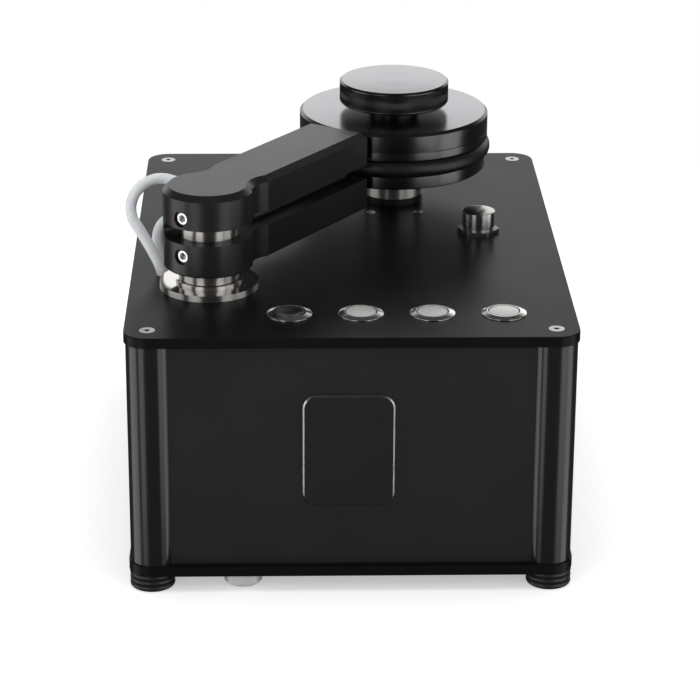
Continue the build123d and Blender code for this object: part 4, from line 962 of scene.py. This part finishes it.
@dataclass
class Buttons:
    """The row of push buttons.

    Attributes:
        count: How many buttons.
        rim: Height of the bezel's upright rim.
        cone_top: Radius where the bezel's cone meets its flat top.
        gap: Width of the dark gap round a cap.
        edge: Rounding of the edges.
        shank: Radius of the bezel's shank, as a share of the bezel's.
        seam: Depth under the bezel's top where its outline starts and ends.
        cap_depth: Thickness of a cap.
        stem: Radius of a cap's stem.
        dish: Radius of the power cap's dish.
        dish_depth: Depth of the dish.
        dish_points: Points from the dish's edge to its middle.
        sides: Steps round a button.
    """

    finishes: Finishes
    count: int = 4
    rim: float = 0.5 * MM
    cone_top: float = 8.75 * MM
    gap: float = 0.7 * MM
    edge: float = 0.22 * MM
    shank: float = 0.82
    seam: float = 6 * MM
    cap_depth: float = 4 * MM
    stem: float = 2 * MM
    dish: float = 6.55 * MM
    dish_depth: float = 1.1 * MM
    dish_points: int = 14
    sides: int = 96

    def bezel(self, number: int) -> None:
        """One bezel, which stays clear of its cap."""
        node = f"button_bezel_{number}"
        span = Span.of(node)
        bore = Span.of(f"button_cap_{number}").radius + self.gap / 4
        deck = Span.of("top_plate").top
        shank = span.radius * self.shank
        corners = [
            Corner(bore, span.top - self.seam), Corner(bore, span.top, self.edge / 2),
            Corner(self.cone_top, span.top, self.edge),
            Corner(span.radius, deck + self.rim, self.edge),
            Corner(span.radius, deck, self.edge / 2), Corner(shank, deck),
            Corner(shank, span.bottom), Corner(bore, span.bottom),
            Corner(bore, span.top - self.seam),
        ]
        steel = self.finishes.steel
        Turning(node, "cabinet", "brushed_steel", corners, steel, self.sides).build()

    def cap(self, number: int) -> None:
        """One cap; the first has a ring round a round dish."""
        node = f"button_cap_{number}"
        span = Span.of(node)
        radius = span.radius - self.gap / 2
        under = span.top - self.cap_depth
        corners = [
            Corner(0.0, span.bottom), Corner(self.stem, span.bottom), Corner(self.stem, under),
            Corner(radius, under), Corner(radius, span.top, self.edge),
        ]
        material = self.finishes.cap_face
        if number == 1:
            corners.append(Corner(self.dish + self.edge, span.top, self.edge))
            corners += [
                Corner(self.dish * share, span.top - self.dish_depth * (1 - share**2))
                for share in np.linspace(0.98, 0.0, self.dish_points)
            ]
            material = self.finishes.power
        else:
            corners.append(Corner(0.0, span.top))
        body = f"button_{number}"
        Turning(node, body, "brushed_steel", corners, material, self.sides).build()

    def build(self) -> None:
        """Build every button."""
        for number in range(1, self.count + 1):
            self.bezel(number)
            self.cap(number)


@dataclass
class Filler:
    """The small polished filler cap.

    Attributes:
        edge: Rounding of its edges.
        neck: How far the neck is set in.
        neck_height: Height of the neck with its cone.
        plug: Radius of the plug under the cap, as a share of the cap's.
    """

    finishes: Finishes
    edge: float = 0.35 * MM
    neck: float = 0.6 * MM
    neck_height: float = 1.6 * MM
    plug: float = 0.65

    def build(self) -> None:
        """Build the cap."""
        span = Span.of("filler_cap")
        seat = Span.of("filler_neck").top
        plug = span.radius * self.plug
        waist = seat + self.neck_height
        corners = [
            Corner(0.0, span.bottom), Corner(plug, span.bottom), Corner(plug, seat),
            Corner(span.radius - self.neck, seat), Corner(span.radius - self.neck, waist - self.neck),
            Corner(span.radius, waist, self.edge), Corner(span.radius, span.top, self.edge),
            Corner(0.0, span.top),
        ]
        Turning("filler_cap", "filler_lid", "polished_metal", corners, self.finishes.cap).build()


@dataclass
class ArmPost:
    """The polished post between the arms.

    Attributes:
        spindle: Radius of the spindle under it.
        spindle_gap: Gap between the arm's base and the post.
        edge: Rounding of the post's lower edge.
        sides: Steps round it.
    """

    finishes: Finishes
    spindle: float = 8.0 * MM
    spindle_gap: float = 0.3 * MM
    edge: float = 0.2 * MM
    sides: int = 160

    def build(self) -> None:
        """Build the post as one polished cylinder with its spindle."""
        span = Span.of("arm_post")
        flange_top = Span.of("arm_base").top + self.spindle_gap
        corners = [
            Corner(0.0, span.bottom), Corner(self.spindle, span.bottom),
            Corner(self.spindle, flange_top), Corner(span.radius, flange_top, self.edge),
            Corner(span.radius, span.top), Corner(0.0, span.top),
        ]
        stem = self.finishes.stem
        Turning("arm_post", "arm", "polished_metal", corners, stem, self.sides).build()


# ---------------------------------------------------------------- badge
@dataclass
class Badge:
    """The bare plate on the front, with a bright bevelled rim.

    Attributes:
        corner: Radius of its corners.
        bevel: Width of the rim.
        arc_steps: Points on each corner.
    """

    finishes: Finishes
    corner: float = 7.2 * MM
    bevel: float = 0.8 * MM
    arc_steps: int = 10

    def outline(self, inset: float) -> np.ndarray:
        """The plate's outline drawn in by an inset, as rows of (x, z)."""
        low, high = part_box("badge_plate")
        radius = self.corner - inset
        turn = np.linspace(0.0, math.pi / 2, self.arc_steps)
        corners = []
        for quarter, (x, z) in enumerate(
            ((high.x, high.z), (low.x, high.z), (low.x, low.z), (high.x, low.z))
        ):
            centre_x = x - math.copysign(self.corner, x - (low.x + high.x) / 2)
            centre_z = z - math.copysign(self.corner, z - (low.z + high.z) / 2)
            angle = turn + quarter * math.pi / 2
            arc = [centre_x + radius * np.cos(angle), centre_z + radius * np.sin(angle)]
            corners.append(np.stack(arc, axis=1))
        return np.concatenate(corners)

    def build(self) -> None:
        """Build rings from the back edge over the bevel to the face, then cap both ends."""
        low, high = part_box("badge_plate")
        rings = []
        for inset, y in ((0.0, high.y), (0.0, low.y + self.bevel), (self.bevel, low.y)):
            flat = self.outline(inset)
            rings.append(np.stack([flat[:, 0], np.full(len(flat), y), flat[:, 1]], axis=1))
        mesh = grid_mesh("badge_plate_finished", np.stack(rings), wrap_u=False, wrap_v=True)
        tidy_mesh(mesh, smooth_angle=30.0)
        piece = add_piece(mesh, "cabinet", [self.finishes.badge, self.finishes.rim])
        rim = np.abs(face_values(mesh, "normal")[:, 1]) < FLAT
        mesh.polygons.foreach_set("material_index", rim.astype(np.int32))
        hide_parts("badge_plate")


# ---------------------------------------------------------------- hoses
@dataclass
class Hose:
    """One suction hose from its barb on the arm down into the deck.

    Attributes:
        name: The CAD node's name.
        route: Its control points, from the arm to the inside of the cabinet.
        bend_start: Not used; meant as where it stops following the arm.
        bend_end: Not used; meant as where it starts standing still with the cabinet.
        finish: Its material.
        radius: Its outer radius.
        sides: Steps round it.
        steps: Points that the spline gives for each point of the route.
    """

    name: str
    route: list[Place]
    bend_start: Place
    bend_end: Place
    finish: Material
    radius: float = 2.9 * MM
    sides: int = 24
    steps: int = 12

    def centreline(self) -> np.ndarray:
        """Points along the smooth spline whose control points are the route."""
        curve = bpy.data.curves.new(f"{self.name}_line", "CURVE")
        curve.dimensions = "3D"
        curve.resolution_u = self.steps
        spline = curve.splines.new("NURBS")
        spline.points.add(len(self.route) - 1)
        for point, place in zip(spline.points, self.route):
            point.co = (*place, 1.0)
        spline.order_u = 3
        spline.use_endpoint_u = True
        holder = linked(f"{self.name}_line", curve)
        line = bpy.data.meshes.new_from_object(holder)
        points = np.zeros(len(line.vertices) * 3)
        line.vertices.foreach_get("co", points)
        bpy.data.objects.remove(holder)
        bpy.data.meshes.remove(line)
        bpy.data.curves.remove(curve)
        return points.reshape(-1, 3)

    def build(self) -> bpy.types.Object:
        """Carry a circle along the centreline, square to it, turned as little as possible."""
        line = self.centreline()
        ahead = np.gradient(line, axis=0)
        ahead /= np.linalg.norm(ahead, axis=1)[:, None]
        side = np.cross(ahead[0], (0.0, 0.0, 1.0))
        sides = []
        for direction in ahead:
            side = side - direction * (side @ direction)
            side = side / np.linalg.norm(side)
            sides.append(side)
        across = np.array(sides)
        upward = np.cross(ahead, across)
        angle = np.linspace(0.0, FULL_TURN, self.sides, endpoint=False)[None, :, None]
        ring = np.cos(angle) * across[:, None, :] + np.sin(angle) * upward[:, None, :]
        points = line[:, None, :] + ring * self.radius
        mesh = grid_mesh(f"{self.name}_tube", points, wrap_u=False, wrap_v=True)
        tidy_mesh(mesh, smooth_angle=60.0)
        piece = linked(mesh.name, mesh)
        mesh.materials.append(self.finish)
        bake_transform(piece)
        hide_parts(self.name)
        return piece


DECK_TOP = Span.of("top_plate").top
ARM_TURN = math.radians(55.19)


def arm_point(along: float, across: float, height: float) -> Place:
    """A point given in millimetres along the arm, to its left and above the deck."""
    post = Span.of("arm_post")
    x = post.x + (along * math.cos(ARM_TURN) - across * math.sin(ARM_TURN)) * MM
    y = post.y + (along * math.sin(ARM_TURN) + across * math.cos(ARM_TURN)) * MM
    return (x, y, DECK_TOP + height * MM)


def beside_arm(right: float, back: float, height: float) -> Place:
    """A point given in millimetres from the arm's axis, square to the cabinet and above the deck."""
    post = Span.of("arm_post")
    return (post.x + right * MM, post.y + back * MM, DECK_TOP + height * MM)


def build_hoses(finishes: Finishes) -> None:
    """Build both hoses.

    Args:
        finishes: The built materials.
    """
    upper = [
        arm_point(20.0, 24.0, 45.0), arm_point(20.0, 33.6, 45.0), beside_arm(-26.0, 37.9, 47.4),
        beside_arm(-35.3, 35.1, 44.9), beside_arm(-41.3, 30.9, 38.0), beside_arm(-41.9, 27.7, 29.4),
        beside_arm(-36.7, 24.3, 21.9), beside_arm(-31.3, 21.1, 13.6), beside_arm(-26.3, 18.1, 4.5),
        beside_arm(-23.5, 16.6, -6.0), beside_arm(-23.5, 16.6, -22.0),
    ]
    lower = [
        arm_point(20.0, 24.0, 24.9), arm_point(20.0, 31.5, 24.9), beside_arm(-19.6, 36.4, 25.4),
        beside_arm(-25.2, 35.1, 23.3), beside_arm(-28.2, 32.9, 18.0), beside_arm(-28.2, 30.2, 11.8),
        beside_arm(-26.5, 27.2, 5.4), beside_arm(-24.2, 24.4, -0.8), beside_arm(-23.0, 23.2, -7.0),
        beside_arm(-23.0, 23.2, -22.0),
    ]
    Hose("hose_upper", upper, upper[1], upper[8], finishes.hose).build()
    Hose("hose_lower", lower, lower[1], lower[7], finishes.hose).build()


# ---------------------------------------------------------------- studio
@dataclass(frozen=True)
class Lamp:
    """A rectangular soft light that faces the machine.

    Attributes:
        name: The lamp's name.
        place: Where it hangs.
        size: Its width and height.
        watts: Its power.
        mirrored: Whether polished surfaces show it.
        aim: The point that it faces.
    """

    name: str
    place: Place
    size: tuple[float, float]
    watts: float
    mirrored: bool = True
    aim: Place = (0.0, 0.0, 0.1)

    def hang(self) -> None:
        """Put the lamp in the scene."""
        data = bpy.data.lights.new(self.name, "AREA")
        data.shape = "RECTANGLE"
        data.size, data.size_y = self.size
        data.energy = self.watts
        holder = linked(self.name, data)
        holder.visible_camera = False
        holder.visible_glossy = self.mirrored
        holder.location = self.place
        facing = Vector(self.aim) - Vector(self.place)
        holder.rotation_euler = facing.to_track_quat("-Z", "Y").to_euler()


LAMPS = (
    Lamp("overhead", (0.0, -0.1, 1.9), (1.4, 1.4), 14.0, mirrored=False),
    Lamp("backlight", (0.0, 2.3, 0.85), (3.6, 2.0), 6.0),
    Lamp("softbox_left", (-0.85, -1.3, 0.25), (0.68, 1.9), 5.6),
    Lamp("softbox_right", (1.0, -1.15, 0.25), (0.78, 1.9), 6.2),
    Lamp("side_left", (-1.48, -0.28, -0.1), (1.15, 1.6), 8.8),
    Lamp("side_right", (1.48, -0.44, -0.1), (0.85, 1.6), 6.5),
)


@dataclass
class Studio:
    """Camera, floor, world and lamps.

    Attributes:
        camera_place: Where the camera stands.
        pitch: Degrees that it looks down.
        yaw: Degrees that it looks to the right of straight ahead.
        roll: Degrees that it is turned about its view.
        lens: Focal length in millimetres.
        sensor: Width of the sensor in millimetres.
        clip: Distance in metres past which nothing is drawn.
        shift: Sideways shift of the frame, as a share of its width.
        floor_front: Y of the floor's front edge.
        floor_back: Y of its back edge.
        floor_half: Half its width.
        floor_grey: How much of the light the floor gives back.
        floor_glow: What is added to the floor, for the camera alone, so that it reads as white.
        ambient: Strength of the world as a light.
        room: How bright the dark part of the room looks in metal.
        backdrop_top: Sine of the heights where the backdrop starts to fade and where it ends.
        backdrop_foot: Sine of the heights where the backdrop starts and where it is full.
        backdrop_side: Y of the directions where the backdrop starts and where it is full.
    """

    camera_place: Place = (-0.0342, -1.40701, 0.63229)
    pitch: float = 21.64
    yaw: float = 1.55
    roll: float = 0.32
    lens: float = 139.04
    sensor: float = 36.0
    clip: float = 50.0
    shift: float = -0.00317
    floor_front: float = -0.3
    floor_back: float = 0.5
    floor_half: float = 0.5
    floor_grey: float = 0.86
    floor_glow: float = 0.42
    ambient: float = 0.5
    room: float = 0.05
    backdrop_top: tuple[float, float] = (0.31, 0.54)
    backdrop_foot: tuple[float, float] = (-0.08, 0.02)
    backdrop_side: tuple[float, float] = (0.45, 0.8)

    def camera(self) -> None:
        """Place the camera."""
        data = bpy.data.cameras.new("camera")
        data.lens = self.lens
        data.sensor_width = self.sensor
        data.shift_x = self.shift
        data.clip_end = self.clip
        holder = linked("camera", data)
        turn = Matrix.Rotation(math.radians(-self.yaw), 4, "Z")
        turn = turn @ Matrix.Rotation(math.radians(90.0 - self.pitch), 4, "X")
        turn = turn @ Matrix.Rotation(math.radians(self.roll), 4, "Z")
        holder.matrix_world = Matrix.Translation(self.camera_place) @ turn
        bpy.context.scene.camera = holder

    def floor(self) -> None:
        """A pale floor that keeps the shadow and reads as white to the camera.

        It is hidden from glossy rays, so polished and black surfaces don't mirror it.
        """
        half, front, back = self.floor_half, self.floor_front, self.floor_back
        mesh = bpy.data.meshes.new("floor")
        corners = [(-half, front, 0.0), (half, front, 0.0), (half, back, 0.0), (-half, back, 0.0)]
        mesh.from_pydata(corners, [], [(0, 1, 2, 3)])
        floor = linked("floor", mesh)
        recipe = Recipe("floor_white")
        grey = (self.floor_grey, self.floor_grey, self.floor_grey, 1.0)
        matte = recipe.add("ShaderNodeBsdfDiffuse", {"Color": grey})
        glow = recipe.add("ShaderNodeEmission", {"Color": WHITE, "Strength": self.floor_glow})
        both = recipe.add("ShaderNodeAddShader", {0: matte.outputs[0], 1: glow.outputs[0]})
        path = recipe.add("ShaderNodeLightPath")
        recipe.end(recipe.choose(path.outputs["Is Camera Ray"], matte, both))
        mesh.materials.append(recipe.material)
        floor.visible_glossy = False

    def world(self) -> None:
        """A world that each kind of ray sees in its own way.

        The camera sees plain white, and diffuse surfaces are lit by an even grey. Glossy and
        clear surfaces see a white backdrop behind the machine and a dark room around it.
        """
        world = bpy.data.worlds.new("studio_world")
        bpy.context.scene.world = world
        sky = Wiring(world, "ShaderNodeOutputWorld")
        path = sky.add("ShaderNodeLightPath")
        place = sky.add("ShaderNodeTexCoord")
        split = sky.add("ShaderNodeSeparateXYZ", {0: place.outputs["Generated"]})
        fades = []
        for axis, (start, end), (low, high) in (
            (2, self.backdrop_top, (1.0, 0.0)),
            (2, self.backdrop_foot, (0.0, 1.0)),
            (1, self.backdrop_side, (0.0, 1.0)),
        ):
            ends = {0: split.outputs[axis], 1: start, 2: end, 3: low, 4: high}
            fade = sky.add("ShaderNodeMapRange", ends, interpolation_type="SMOOTHSTEP")
            fades.append(fade.outputs[0])
        upright = sky.combine("MULTIPLY", fades[0], fades[1])
        backdrop = sky.combine("MULTIPLY", upright, fades[2])
        level = sky.combine("MAXIMUM", backdrop, self.room)
        mirrored = sky.add("ShaderNodeBackground", {0: WHITE, 1: level})
        lit = sky.add("ShaderNodeBackground", {0: WHITE, 1: self.ambient})
        seen = sky.add("ShaderNodeBackground", {0: WHITE, 1: 1.0})
        soft = sky.choose(path.outputs["Is Diffuse Ray"], mirrored, lit)
        sky.end(sky.choose(path.outputs["Is Camera Ray"], soft, seen))

    def build(self) -> None:
        """Set up the studio."""
        self.camera()
        self.floor()
        self.world()
        for lamp in LAMPS:
            lamp.hang()
        bpy.context.scene.view_settings.view_transform = "Standard"


def main() -> None:
    """Build the studio, then dress the machine."""
    logging.basicConfig(level=logging.INFO, format="%(name)s: %(message)s")
    Studio().build()
    finishes = Finishes()
    dress_nodes(finishes)
    Platter(finishes).build()
    Clamp(finishes).build()
    Buttons(finishes).build()
    Filler(finishes).build()
    ArmPost(finishes).build()
    Badge(finishes).build()
    build_hoses(finishes)


if __name__ == "__main__":
    main()
